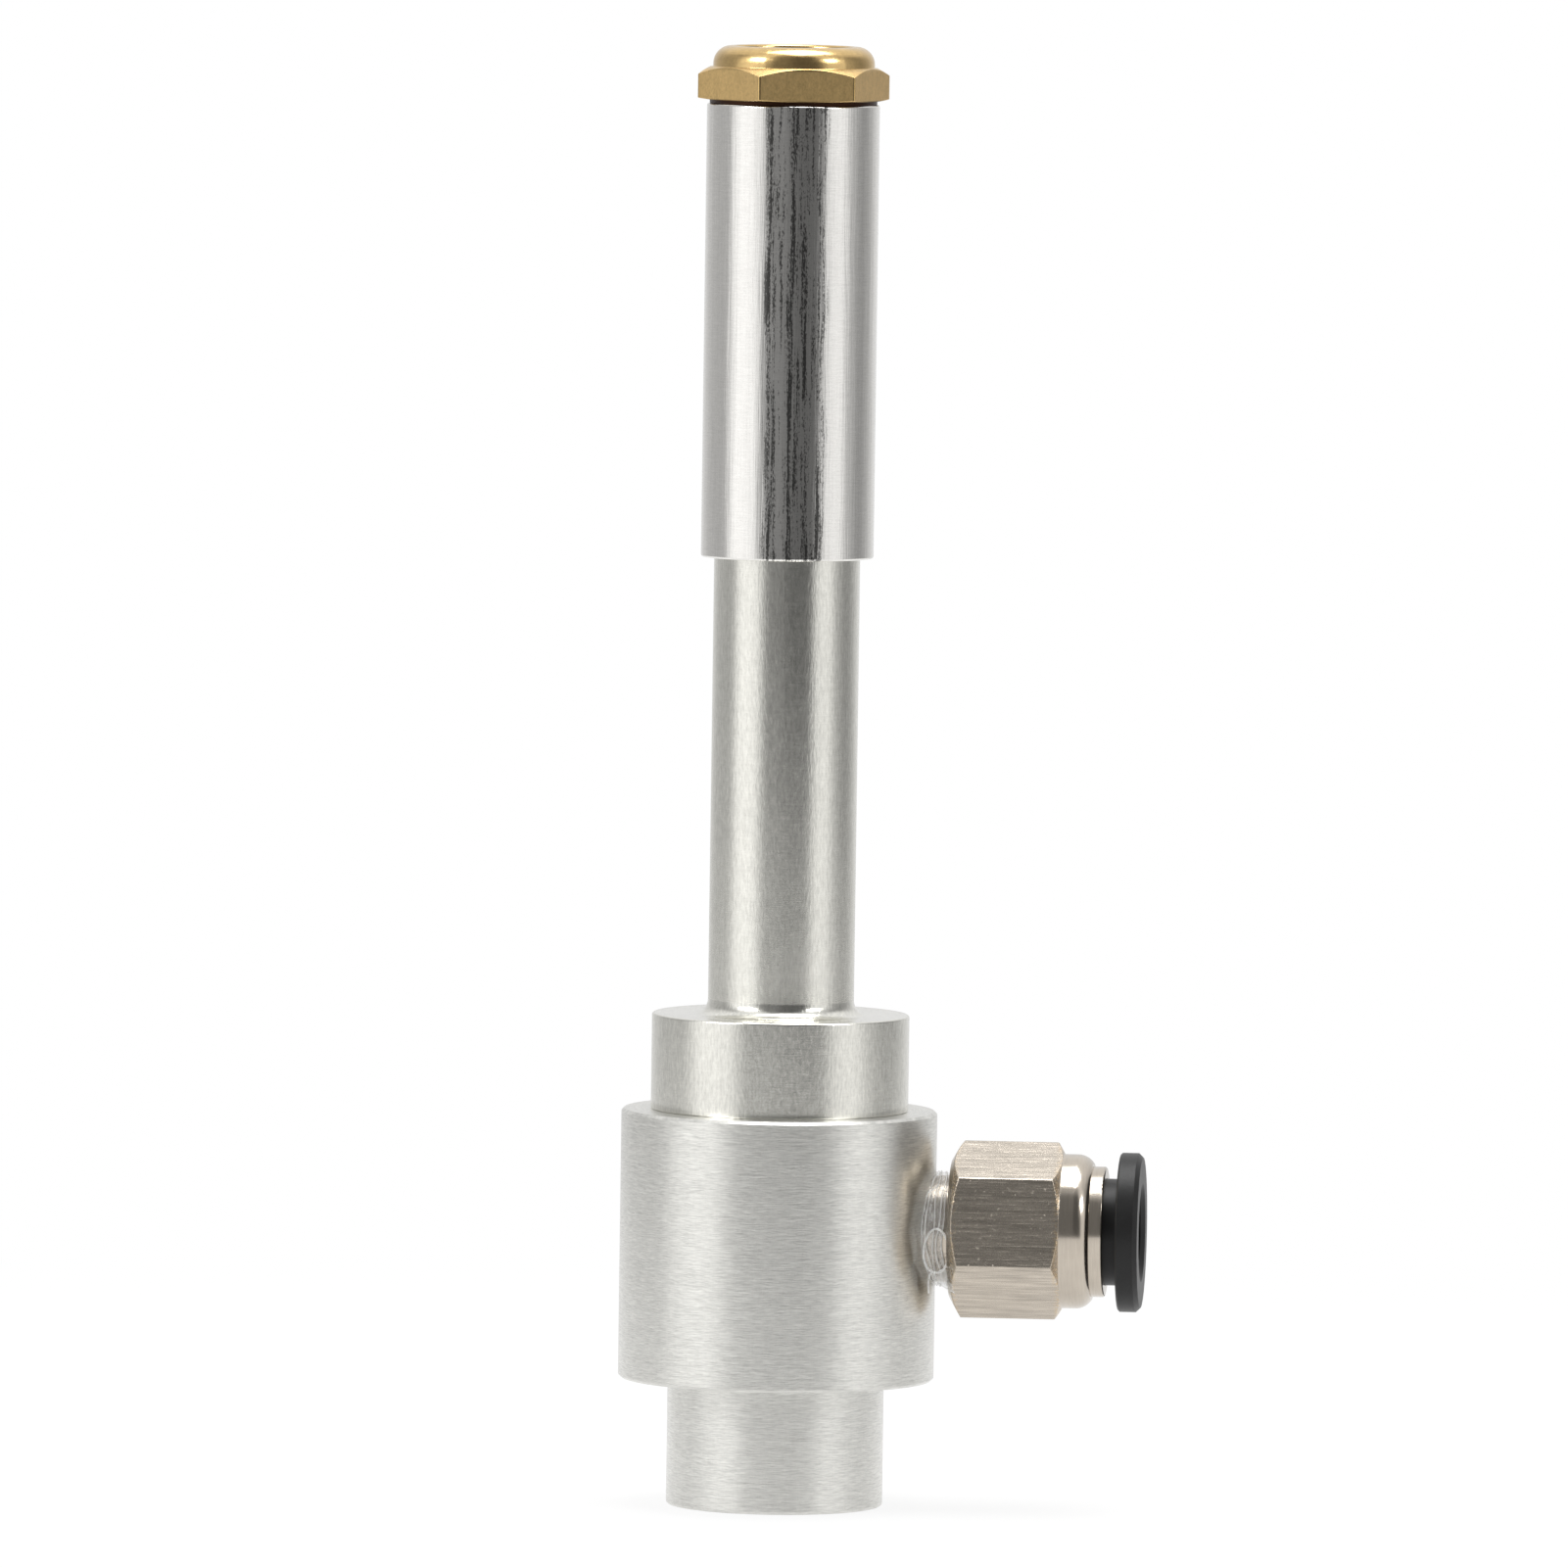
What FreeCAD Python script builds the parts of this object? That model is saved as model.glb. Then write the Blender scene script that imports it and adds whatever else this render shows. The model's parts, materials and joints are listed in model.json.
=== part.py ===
import FreeCAD, Part
import math
import os
import Sketcher

# Vortex tube: a counter-flow tube that splits compressed air into a cold and a hot stream.
# The origin is the centre of the cold outlet's end face, +Z runs along the tube to the hot end,
# and +X runs along the air inlet fitting. Lengths are in millimetres and angles in degrees.

# Driving sizes
SIZES = (
    # Cold outlet
    ("outlet_diameter", 19.6, "outside of the cold outlet"),
    ("outlet_length", 11.5, "outlet below the body"),
    ("outlet_bore", 10.0, "bore that the cold air leaves by"),
    ("outlet_edge", 0.25, "chamfer on the outlet's outer edge"),
    ("throat_length", 4.0, "cone inside the outlet, up to the orifice disc"),
    # Body
    ("body_diameter", 28.6, "outside of the turned body"),
    ("body_length", 24.4, "body from end face to end face"),
    ("body_edge", 0.25, "chamfer on the body's outer edges"),
    ("screw_diameter", 17.0, "thread of the two screwed spigots"),
    ("chamber_diameter", 15.0, "bore between the two threads"),
    ("relief_depth", 0.5, "undercut at the root of each spigot's thread"),
    ("recess_width", 1.1, "square recess for each end seal"),
    # Air inlet
    ("inlet_offset", 13.9, "inlet axis above the body's lower face"),
    ("passage_diameter", 5.0, "hole from the port into the chamber"),
    ("stub_diameter", 9.7, "taper thread at the fitting's hexagon"),
    ("stub_engagement", 4.85, "taper thread inside the body"),
    ("stub_gap", 1.5, "bare thread between the body and the hexagon"),
    ("pipe_taper", 0.0625, "taper of the thread, on its diameter"),
    ("port_relief", 0.2, "room past the end of the stub"),
    ("tape_thickness", 0.22, "thread-seal film round the stub"),
    ("tape_gap", 0.05, "film's distance from its neighbours"),
    # Nozzle ring and orifice disc
    ("nozzle_ring_diameter", 11.8, "outside of the nozzle ring"),
    ("ring_seat_depth", 0.6, "recess that centres the ring on the hot tube"),
    ("nozzle_height", 2.2, "height of each tangential nozzle"),
    ("nozzle_width", 0.9, "nozzle where it meets the chamber"),
    ("nozzle_mouth", 1.5, "nozzle at its outer end"),
    ("nozzle_count", 6, "nozzles round the ring"),
    ("disc_thickness", 3.0, "orifice disc"),
    ("orifice_diameter", 4.4, "hole that the cold air passes"),
    ("orifice_land", 0.8, "straight part of the orifice"),
    ("throat_diameter", 7.2, "wide end of the disc's cone"),
    ("disc_groove_depth", 1.1, "groove for the disc's seal, from the chamber's wall"),
    ("disc_groove_width", 1.3, "same groove along the axis"),
    ("cold_nose", 0.9, "outlet's nose in the chamber"),
    # Hot tube
    ("flange_diameter", 23.3, "neck flange"),
    ("flange_length", 8.7, "neck flange above the body"),
    ("flange_edge", 0.2, "chamfer on the flange's edge"),
    ("tube_diameter", 13.2, "outside of the hot tube"),
    ("tube_bore", 8.0, "bore of the hot tube"),
    ("tube_bare_length", 41.35, "tube between flange and sleeve"),
    ("tube_in_sleeve", 30.0, "screwed end of the tube, inside the sleeve"),
    ("root_fillet", 1.3, "fillet where the tube meets the flange"),
    ("hot_nose", 3.0, "spigot's plain nose in the chamber"),
    # Hot end
    ("sleeve_diameter", 15.6, "outside of the sleeve"),
    ("sleeve_length", 40.95, "sleeve from end to end"),
    ("sleeve_edge", 0.2, "chamfer on the sleeve's edges"),
    ("sleeve_thread", 12.3, "thread in the sleeve, for the tube and the silencer"),
    ("valve_bore", 10.2, "threaded pocket for the hot valve"),
    ("valve_pocket", 13.5, "depth of that pocket"),
    ("valve_opening", 1.6, "lift of the valve off its seat at rest"),
    ("valve_head", 9.2, "widest part of the valve's cone"),
    ("valve_tip", 0.8, "flat at the cone's point"),
    ("valve_cone", 7.3, "length of the cone"),
    ("valve_rim", 0.5, "straight edge behind the cone"),
    ("valve_stem", 3.6, "stem behind the cone"),
    ("stem_length", 2.0, "stem between the cone and the disc"),
    ("valve_disc", 4.0, "thickness of the threaded disc"),
    ("valve_hole", 1.6, "each hole through the disc"),
    ("valve_hole_circle", 6.0, "circle that the holes lie on"),
    ("valve_hole_count", 6, "holes through the disc"),
    ("valve_groove_depth", 0.85, "groove for the disc's ring, from the pocket's wall"),
    ("valve_groove_width", 1.3, "same groove along the axis"),
    ("drive_width", 1.2, "screwdriver slot"),
    ("drive_depth", 1.0, "depth of the slot"),
    # Silencer
    ("silencer_screw", 8.0, "silencer's thread inside the sleeve"),
    ("silencer_bore", 9.2, "bore up to the sintered disc"),
    ("silencer_face", 0.3, "turned face under the hexagon"),
    ("silencer_flats", 15.2, "hexagon across its flats"),
    ("silencer_hexagon", 3.0, "hexagon along the axis"),
    ("silencer_turn", 44.0, "hexagon about its axis"),
    ("hexagon_bevel", 30.0, "bevel on top of the silencer's hexagon"),
    ("hexagon_under_bevel", 8.0, "bevel under the silencer's hexagon"),
    ("dome_diameter", 14.6, "rolled rim"),
    ("dome_height", 1.9, "rolled rim above the hexagon"),
    ("dome_round", 1.6, "rounding of the rim"),
    ("vent_diameter", 10.4, "opening in the rim"),
    ("lip_thickness", 0.8, "rim over the sintered disc"),
    ("sinter_diameter", 12.4, "pocket for the sintered disc"),
    ("sinter_thickness", 2.0, "sintered disc"),
    # Push-in fitting
    ("fitting_flats", 14.0, "hexagon across its flats"),
    ("fitting_hexagon", 10.15, "hexagon along the axis"),
    ("fitting_turn", 20.3, "hexagon about its axis"),
    ("fitting_bevel", 30.0, "bevel of the fitting's hexagon"),
    ("back_face_diameter", 12.6, "round face at the hexagon's back"),
    ("barrel_diameter", 13.95, "barrel in front of the hexagon"),
    ("barrel_straight", 1.15, "straight part of the barrel"),
    ("barrel_round", 1.5, "rounded part of the barrel"),
    ("barrel_face_diameter", 12.4, "barrel's front face"),
    ("mouth_diameter", 11.6, "bore of the barrel"),
    ("hose_bore", 8.2, "bore that guides the 8 mm hose"),
    ("stop_wall", 0.8, "hose stop in front of the hexagon's back"),
    ("socket_depth", 3.2, "hose socket behind the seal"),
    ("air_bore", 4.8, "bore of the stub"),
    ("key_flats", 5.0, "key socket across its flats"),
    ("key_depth", 4.5, "depth of the key socket"),
    ("seal_length", 2.3, "lip seal along the axis"),
    ("seal_lip", 7.8, "seal's lip before a hose opens it"),
    ("seal_lead", 0.6, "slopes beside the lip"),
    ("backing_length", 1.6, "backing ring at its rim"),
    ("backing_lip", 0.5, "backing ring at its bore"),
    ("claw_thickness", 0.3, "sheet of the grip ring"),
    ("claw_bend", 10.2, "circle where the teeth bend"),
    ("claw_tips", 7.9, "circle of the teeth's tips"),
    ("claw_angle", 30.0, "lean of the teeth"),
    ("claw_slit", 0.7, "slit between two teeth"),
    ("claw_count", 10, "teeth of the grip ring"),
    ("rim_diameter", 11.8, "guide ring in front of the barrel"),
    ("rim_length", 1.2, "same, along the axis"),
    ("rim_edge", 0.2, "rounding of the guide ring's edge"),
    ("guide_lip", 1.6, "lip that keeps the collar in"),
    ("guide_bore", 10.6, "guide ring behind its lip"),
    ("collar_neck", 9.65, "collar's sleeve"),
    ("collar_barb", 10.4, "barb that stops at the guide's lip"),
    ("barb_length", 1.0, "straight part of the barb"),
    ("barb_ramp", 0.8, "slope behind the barb"),
    ("collar_flange", 14.4, "collar's flange"),
    ("flange_thickness", 2.0, "collar's flange along the axis"),
    ("collar_bevel", 0.4, "bevel of the flange's front edge"),
    ("collar_back_edge", 0.15, "chamfer of the flange's back edge"),
    ("collar_lead", 0.4, "lead-in of the collar's bore"),
    ("collar_travel", 1.15, "how far the collar is pressed in"),
    ("collar_slit", 0.8, "slits that let the barb spring"),
    ("collar_slit_count", 4, "slits round the collar"),
    # Fits
    ("fit_clearance", 0.05, "radial play of a screwed or sliding fit"),
    ("press_clearance", 0.01, "radial play of a pressed or moulded seat"),
    ("seal_clearance", 0.02, "seal to each wall of its groove"),
    ("stop_gap", 0.1, "play at a stop"),
)

doc = FreeCAD.newDocument("VortexTube")
sheet = doc.addObject("Spreadsheet::Sheet", "Sizes")
for row, (alias, value, note) in enumerate(SIZES, start=1):
    sheet.set(f"A{row}", note)
    sheet.set(f"B{row}", str(value))
    sheet.setAlias(f"B{row}", alias)
doc.recompute()


def value_of(expression):
    """Work out an expression on the sheet's cells as a plain number."""
    return float(sheet.evalExpression(expression))


def half(alias):
    """Radius that belongs to a diameter on the sheet."""
    return f"(Sizes.{alias} / 2)"


# Levels along the tube
BODY_BOTTOM = "Sizes.outlet_length"
BODY_TOP = f"({BODY_BOTTOM} + Sizes.body_length)"
FLANGE_TOP = f"({BODY_TOP} + Sizes.flange_length)"
SLEEVE_BOTTOM = f"({FLANGE_TOP} + Sizes.tube_bare_length)"
TUBE_END = f"({SLEEVE_BOTTOM} + Sizes.tube_in_sleeve)"
SLEEVE_TOP = f"({SLEEVE_BOTTOM} + Sizes.sleeve_length)"
INLET_LEVEL = f"({BODY_BOTTOM} + Sizes.inlet_offset)"

# Levels in the chamber: the nozzle ring stands on the orifice disc, and both are clamped
# between the noses of the two spigots. The inlet passage opens onto the ring.
PLENUM_BOTTOM = f"({INLET_LEVEL} - {half('passage_diameter')})"
PLENUM_TOP = f"({INLET_LEVEL} + {half('passage_diameter')})"
RING_TOP = f"({PLENUM_TOP} + Sizes.ring_seat_depth)"
DISC_BOTTOM = f"({PLENUM_BOTTOM} - Sizes.disc_thickness)"
LOWER_SHOULDER = f"({DISC_BOTTOM} - Sizes.cold_nose)"
UPPER_SHOULDER = f"({PLENUM_TOP} + Sizes.hot_nose)"
LOWER_RECESS = f"({BODY_BOTTOM} + Sizes.recess_width)"
UPPER_RECESS = f"({BODY_TOP} - Sizes.recess_width)"

# Radii in the body
SCREW = half("screw_diameter")
SCREW_MALE = f"({SCREW} - Sizes.fit_clearance)"
RELIEF = f"({SCREW} - Sizes.relief_depth)"
RECESS = f"({RELIEF} + Sizes.recess_width)"
CHAMBER = half("chamber_diameter")
NOSE = f"({CHAMBER} - Sizes.fit_clearance)"
NOZZLE_RING = half("nozzle_ring_diameter")
RING_SEAT = f"({NOZZLE_RING} + Sizes.fit_clearance)"

# Thread that the sleeve shares with the tube and the silencer
SLEEVE_BORE = half("sleeve_thread")
SLEEVE_MALE = f"({SLEEVE_BORE} - Sizes.fit_clearance)"

# The hot valve: its cone would touch the seat's edge if it were lowered by the opening.
SEAT_TOP = f"({TUBE_END} - Sizes.valve_pocket)"
SEAT_BOTTOM = f"({SEAT_TOP} - ({half('valve_bore')} - {half('tube_bore')}))"
CONE_PAST_SEAT = (
    f"(Sizes.valve_cone * (Sizes.valve_head - Sizes.tube_bore) / (Sizes.valve_head - Sizes.valve_tip))"
)
HEAD_LEVEL = f"({SEAT_BOTTOM} + Sizes.valve_opening + {CONE_PAST_SEAT})"
TIP_LEVEL = f"({HEAD_LEVEL} - Sizes.valve_cone)"
STEM_LEVEL = f"({HEAD_LEVEL} + Sizes.valve_rim)"
VALVE_DISC_BOTTOM = f"({STEM_LEVEL} + Sizes.stem_length)"
VALVE_DISC_TOP = f"({VALVE_DISC_BOTTOM} + Sizes.valve_disc)"
VALVE_RING_LEVEL = f"({VALVE_DISC_BOTTOM} + Sizes.valve_disc / 2)"

# Levels of the silencer
SILENCER_BOTTOM = f"({SLEEVE_TOP} - Sizes.silencer_screw)"
HEXAGON_BOTTOM = f"({SLEEVE_TOP} + Sizes.silencer_face)"
HEXAGON_TOP = f"({HEXAGON_BOTTOM} + Sizes.silencer_hexagon)"
DOME_TOP = f"({HEXAGON_TOP} + Sizes.dome_height)"
SINTER_TOP = f"({DOME_TOP} - Sizes.lip_thickness)"
SINTER_BOTTOM = f"({SINTER_TOP} - Sizes.sinter_thickness)"

# Distances along the fitting, from the tube's axis
BODY_SIDE = half("body_diameter")
STUB_END = f"({BODY_SIDE} - Sizes.stub_engagement)"
PORT_END = f"({STUB_END} - Sizes.port_relief)"
HEX_BACK = f"({BODY_SIDE} + Sizes.stub_gap)"
HEX_FRONT = f"({HEX_BACK} + Sizes.fitting_hexagon)"
BARREL_EDGE = f"({HEX_FRONT} + Sizes.barrel_straight)"
BARREL_FRONT = f"({BARREL_EDGE} + Sizes.barrel_round)"
RIM_FRONT = f"({BARREL_FRONT} + Sizes.rim_length)"
COLLAR_BACK = f"({RIM_FRONT} + Sizes.collar_travel + Sizes.stop_gap)"
COLLAR_FRONT = f"({COLLAR_BACK} + Sizes.flange_thickness)"
HOSE_STOP = f"({HEX_BACK} + Sizes.stop_wall)"
SEAL_SEAT = f"({HOSE_STOP} + Sizes.socket_depth)"
SEAL_FRONT = f"({SEAL_SEAT} + Sizes.seal_length)"
CLAW_SEAT = f"({SEAL_FRONT} + Sizes.backing_length)"
CLAW_FRONT = f"({CLAW_SEAT} + Sizes.claw_thickness)"
LIP_BACK = f"({RIM_FRONT} - Sizes.guide_lip)"
BARB_FRONT = f"({LIP_BACK} - Sizes.stop_gap)"
BARB_BACK = f"({BARB_FRONT} - Sizes.barb_length)"

# Radii in the fitting
STUB = half("stub_diameter")
MOUTH = half("mouth_diameter")
INSERT = f"({MOUTH} - Sizes.press_clearance)"
HOSE = half("hose_bore")
CLAW_BEND = half("claw_bend")
CLAW_TIPS = half("claw_tips")
CLAW_SLOPE = "tan(Sizes.claw_angle * 1deg)"
# The collar's nose, pressed fully in, stops just short of the leaning teeth.
NOSE_TIP = f"({CLAW_FRONT} - ({CLAW_BEND} - {HOSE}) * {CLAW_SLOPE} + Sizes.stop_gap + Sizes.collar_travel)"
NOSE_BACK = f"({NOSE_TIP} + ({half('collar_neck')} - {HOSE}) * {CLAW_SLOPE})"


def stub_radius(distance):
    """Radius of the taper thread at a distance from the tube's axis."""
    return f"({STUB} - ({HEX_BACK} - {distance}) * Sizes.pipe_taper / 2)"


def new_body(node):
    """Start a sub-part that stands on the tube's own axis."""
    body = doc.addObject("PartDesign::Body", node)
    body.Label = node
    return body


def lay_along_inlet(body):
    """Turn a sub-part drawn upright so that its axis is the inlet's, pointing along +X."""
    body.Placement = FreeCAD.Placement(
        FreeCAD.Vector(0, 0, value_of(INLET_LEVEL)), FreeCAD.Rotation(FreeCAD.Vector(0, 1, 0), 90)
    )
    body.setExpression("Placement.Base.z", INLET_LEVEL)


def new_sketch(body, name, plane, level="0", turn="0"):
    """Attach a sketch to one of the body's own planes, raised and turned about its normal."""
    origin_plane = next(item for item in body.Origin.OriginFeatures if item.Role == plane)
    sketch = body.newObject("Sketcher::SketchObject", name)
    sketch.AttachmentSupport = (origin_plane, [""])
    sketch.MapMode = "FlatFace"
    sketch.AttachmentOffset = FreeCAD.Placement(
        FreeCAD.Vector(0, 0, value_of(level)), FreeCAD.Rotation(FreeCAD.Vector(0, 0, 1), value_of(turn))
    )
    if level != "0":
        sketch.setExpression("AttachmentOffset.Base.z", level)
    if turn != "0":
        sketch.setExpression("AttachmentOffset.Rotation.Angle", turn)
    return sketch


def drive(sketch, kind, geometry, point, expression):
    """Tie one coordinate of a sketch point to an expression, or to the axis where it is zero."""
    value = value_of(expression)
    if abs(value) < 1e-9:
        axis = -2 if kind == "DistanceX" else -1
        sketch.addConstraint(Sketcher.Constraint("PointOnObject", geometry, point, axis))
        return
    index = sketch.addConstraint(Sketcher.Constraint(kind, -1, 1, geometry, point, value))
    sketch.setExpression(f"Constraints[{index}]", expression)


def draw_outline(sketch, corners):
    """Draw a closed outline. A corner is (across, up) or (across, up, "arc"): an arc runs from
    that corner to the next and leaves it in line with the edge before."""
    spots = [FreeCAD.Vector(value_of(corner[0]), value_of(corner[1]), 0) for corner in corners]
    count = len(corners)
    ends = []
    for index, corner in enumerate(corners):
        start, finish = spots[index], spots[(index + 1) % count]
        if len(corner) == 2:
            geometry = sketch.addGeometry(Part.LineSegment(start, finish))
            ends.append((geometry, 1, 2))
            continue
        along = (start - spots[index - 1]).normalize()
        middle = tangent_arc_middle(start, finish, along)
        arc = Part.Arc(start, middle, finish)
        geometry = sketch.addGeometry(arc)
        drawn = sketch.Geometry[geometry]
        forward = drawn.StartPoint.distanceToPoint(start) < drawn.EndPoint.distanceToPoint(start)
        ends.append((geometry, 1, 2) if forward else (geometry, 2, 1))
    for index in range(count):
        geometry, first, last = ends[index]
        next_geometry, next_first, next_last = ends[(index + 1) % count]
        leaves_smoothly = len(corners[(index + 1) % count]) == 3
        kind = "Tangent" if leaves_smoothly else "Coincident"
        sketch.addConstraint(Sketcher.Constraint(kind, geometry, last, next_geometry, next_first))
        drive(sketch, "DistanceX", geometry, first, corners[index][0])
        drive(sketch, "DistanceY", geometry, first, corners[index][1])


def tangent_arc_middle(start, finish, along):
    """Middle of the arc that leaves start in the given direction and ends at finish."""
    chord = finish - start
    side = (chord - along * chord.dot(along)).normalize()
    radius = chord.dot(chord) / (2 * chord.dot(side))
    centre = start + side * radius
    return centre + (((start - centre) + (finish - centre)).normalize()) * radius


def turned(body, name, corners, cut=False):
    """Turn an outline of (radius, level) corners about the body's upright axis."""
    sketch = new_sketch(body, name + "_profile", "XZ_Plane")
    draw_outline(sketch, corners)
    feature = body.newObject("PartDesign::Groove" if cut else "PartDesign::Revolution", name)
    feature.Profile = (sketch, [""])
    feature.ReferenceAxis = (sketch, ["V_Axis"])
    feature.Angle = 360
    doc.recompute()
    return feature


def draw_hexagon(sketch, flats):
    """Draw a hexagon by its size across the flats, with one flat facing along the sketch's X."""
    apothem = value_of(f"({flats}) / 2")
    reach = apothem / math.cos(math.pi / 6)
    corners = [
        FreeCAD.Vector(reach * math.cos(angle), reach * math.sin(angle), 0)
        for angle in (math.radians(60 * step - 30) for step in range(6))
    ]
    for index in range(6):
        sketch.addGeometry(Part.LineSegment(corners[index], corners[(index + 1) % 6]))
    circle = sketch.addGeometry(Part.Circle(FreeCAD.Vector(), FreeCAD.Vector(0, 0, 1), reach), True)
    sketch.addConstraint(Sketcher.Constraint("Coincident", circle, 3, -1, 1))
    for index in range(6):
        sketch.addConstraint(Sketcher.Constraint("Coincident", index, 2, (index + 1) % 6, 1))
        sketch.addConstraint(Sketcher.Constraint("PointOnObject", index, 1, circle))
        if index:
            sketch.addConstraint(Sketcher.Constraint("Equal", 0, index))
    sketch.addConstraint(Sketcher.Constraint("Vertical", 0))
    drive(sketch, "DistanceX", 0, 1, f"({flats}) / 2")


def padded(body, name, sketch, length):
    """Pad a sketch along its normal."""
    pad = body.newObject("PartDesign::Pad", name)
    pad.Profile = (sketch, [""])
    pad.Length = value_of(length)
    pad.setExpression("Length", length)
    doc.recompute()
    return pad


def pocketed(body, name, sketch, length, upward=False):
    """Cut a sketch out, down from its plane or up from it, and make sure that it cuts."""
    before = body.Tip.Shape.Volume
    pocket = body.newObject("PartDesign::Pocket", name)
    pocket.Profile = (sketch, [""])
    pocket.Reversed = upward
    pocket.Length = value_of(length)
    pocket.setExpression("Length", length)
    doc.recompute()
    if pocket.Shape.Volume >= before:
        raise RuntimeError(f"{name} cuts nothing")
    return pocket


def repeated(body, name, feature, sketch, count):
    """Repeat a feature round the body's upright axis."""
    pattern = body.newObject("PartDesign::PolarPattern", name)
    pattern.Originals = [feature]
    pattern.Axis = (sketch, ["N_Axis"])
    pattern.Angle = 360
    pattern.Occurrences = round(value_of(count))
    pattern.setExpression("Occurrences", count)
    body.Tip = pattern
    doc.recompute()
    return pattern


def round_edges(body, spots):
    """Names of the circular edges of the body's last feature at (radius, level) spots."""
    wanted = [(value_of(radius), value_of(level)) for radius, level in spots]
    names = []
    for index, edge in enumerate(body.Tip.Shape.Edges, start=1):
        if not isinstance(edge.Curve, Part.Circle):
            continue
        here = (edge.Curve.Radius, edge.Curve.Center.z)
        if any(math.dist(here, spot) < 1e-5 for spot in wanted):
            names.append(f"Edge{index}")
    if len(names) < len(wanted):
        raise RuntimeError(f"{body.Label}: an edge to dress is missing")
    return names


def chamfered(body, name, spots, size):
    """Chamfer circular edges."""
    base = body.Tip
    names = round_edges(body, spots)
    chamfer = body.newObject("PartDesign::Chamfer", name)
    chamfer.Base = (base, names)
    chamfer.Size = value_of(size)
    chamfer.setExpression("Size", size)
    doc.recompute()
    return chamfer


def filleted(body, name, spots, radius):
    """Fillet circular edges."""
    base = body.Tip
    names = round_edges(body, spots)
    fillet = body.newObject("PartDesign::Fillet", name)
    fillet.Base = (base, names)
    fillet.Radius = value_of(radius)
    fillet.setExpression("Radius", radius)
    doc.recompute()
    return fillet


def seal_ring(node, outer, inner, level):
    """A seal of round section between two walls, given by their radii."""
    ring = doc.addObject("Part::Torus", node)
    ring.Label = node
    ring.setExpression("Radius1", f"({outer} + {inner}) / 2")
    ring.setExpression("Radius2", f"({outer} - {inner}) / 2 - Sizes.seal_clearance")
    ring.setExpression("Placement.Base.z", level)
    return ring


def make_main_body():
    """Bored through, with a recess for a seal at each end and the tapered air port in its side."""
    body = new_body("main_body")
    turned(body, "turned_body", [
        (BODY_SIDE, BODY_BOTTOM), (BODY_SIDE, BODY_TOP), (RECESS, BODY_TOP), (RECESS, UPPER_RECESS),
        (SCREW, UPPER_RECESS), (SCREW, UPPER_SHOULDER), (CHAMBER, UPPER_SHOULDER),
        (CHAMBER, LOWER_SHOULDER), (SCREW, LOWER_SHOULDER), (SCREW, LOWER_RECESS),
        (RECESS, LOWER_RECESS), (RECESS, BODY_BOTTOM),
    ])
    chamfered(body, "body_edges", [(BODY_SIDE, BODY_BOTTOM), (BODY_SIDE, BODY_TOP)], "Sizes.body_edge")
    inside = f"({CHAMBER} / 2)"
    outside = f"({BODY_SIDE} + Sizes.stub_gap)"
    small = f"({stub_radius(PORT_END)} + Sizes.fit_clearance)"
    large = f"({stub_radius(outside)} + Sizes.fit_clearance)"
    sketch = new_sketch(body, "port_profile", "XZ_Plane")
    draw_outline(sketch, [
        (inside, INLET_LEVEL), (outside, INLET_LEVEL), (outside, f"{INLET_LEVEL} + {large}"),
        (PORT_END, f"{INLET_LEVEL} + {small}"), (PORT_END, PLENUM_TOP), (inside, PLENUM_TOP),
    ])
    before = body.Tip.Shape.Volume
    port = body.newObject("PartDesign::Groove", "air_port")
    port.Profile = (sketch, [""])
    port.ReferenceAxis = (sketch, ["Edge1"])
    port.Angle = 360
    doc.recompute()
    if port.Shape.Volume >= before:
        raise RuntimeError("air_port cuts nothing")
    return body


def make_cold_outlet():
    """Outlet with a screwed spigot, whose nose carries the orifice disc."""
    body = new_body("cold_outlet")
    screw_end = f"({LOWER_SHOULDER} - Sizes.stop_gap)"
    turned(body, "turned_outlet", [
        (half("outlet_bore"), "0"), (half("outlet_diameter"), "0"), (half("outlet_diameter"), BODY_BOTTOM),
        (RELIEF, BODY_BOTTOM), (RELIEF, LOWER_RECESS), (SCREW_MALE, LOWER_RECESS), (SCREW_MALE, screw_end),
        (NOSE, screw_end), (NOSE, DISC_BOTTOM), (half("throat_diameter"), DISC_BOTTOM),
        (half("outlet_bore"), f"{DISC_BOTTOM} - Sizes.throat_length"),
    ])
    chamfered(body, "outlet_edge_cut", [(half("outlet_diameter"), "0")], "Sizes.outlet_edge")
    return body


def make_hot_tube():
    """Spigot, neck flange and tube turned in one piece, with the valve's seat near its end."""
    body = new_body("hot_tube")
    screw_start = f"({UPPER_SHOULDER} + Sizes.stop_gap)"
    turned(body, "turned_tube", [
        (half("tube_bore"), RING_TOP), (RING_SEAT, RING_TOP), (RING_SEAT, PLENUM_TOP), (NOSE, PLENUM_TOP),
        (NOSE, screw_start), (SCREW_MALE, screw_start), (SCREW_MALE, UPPER_RECESS), (RELIEF, UPPER_RECESS),
        (RELIEF, BODY_TOP), (half("flange_diameter"), BODY_TOP), (half("flange_diameter"), FLANGE_TOP),
        (half("tube_diameter"), FLANGE_TOP), (half("tube_diameter"), SLEEVE_BOTTOM),
        (SLEEVE_MALE, SLEEVE_BOTTOM), (SLEEVE_MALE, TUBE_END), (half("valve_bore"), TUBE_END),
        (half("valve_bore"), SEAT_TOP), (half("tube_bore"), SEAT_BOTTOM),
    ])
    filleted(body, "root", [(half("tube_diameter"), FLANGE_TOP)], "Sizes.root_fillet")
    chamfered(body, "flange_edge_cut", [(half("flange_diameter"), FLANGE_TOP)], "Sizes.flange_edge")
    return body


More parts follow.
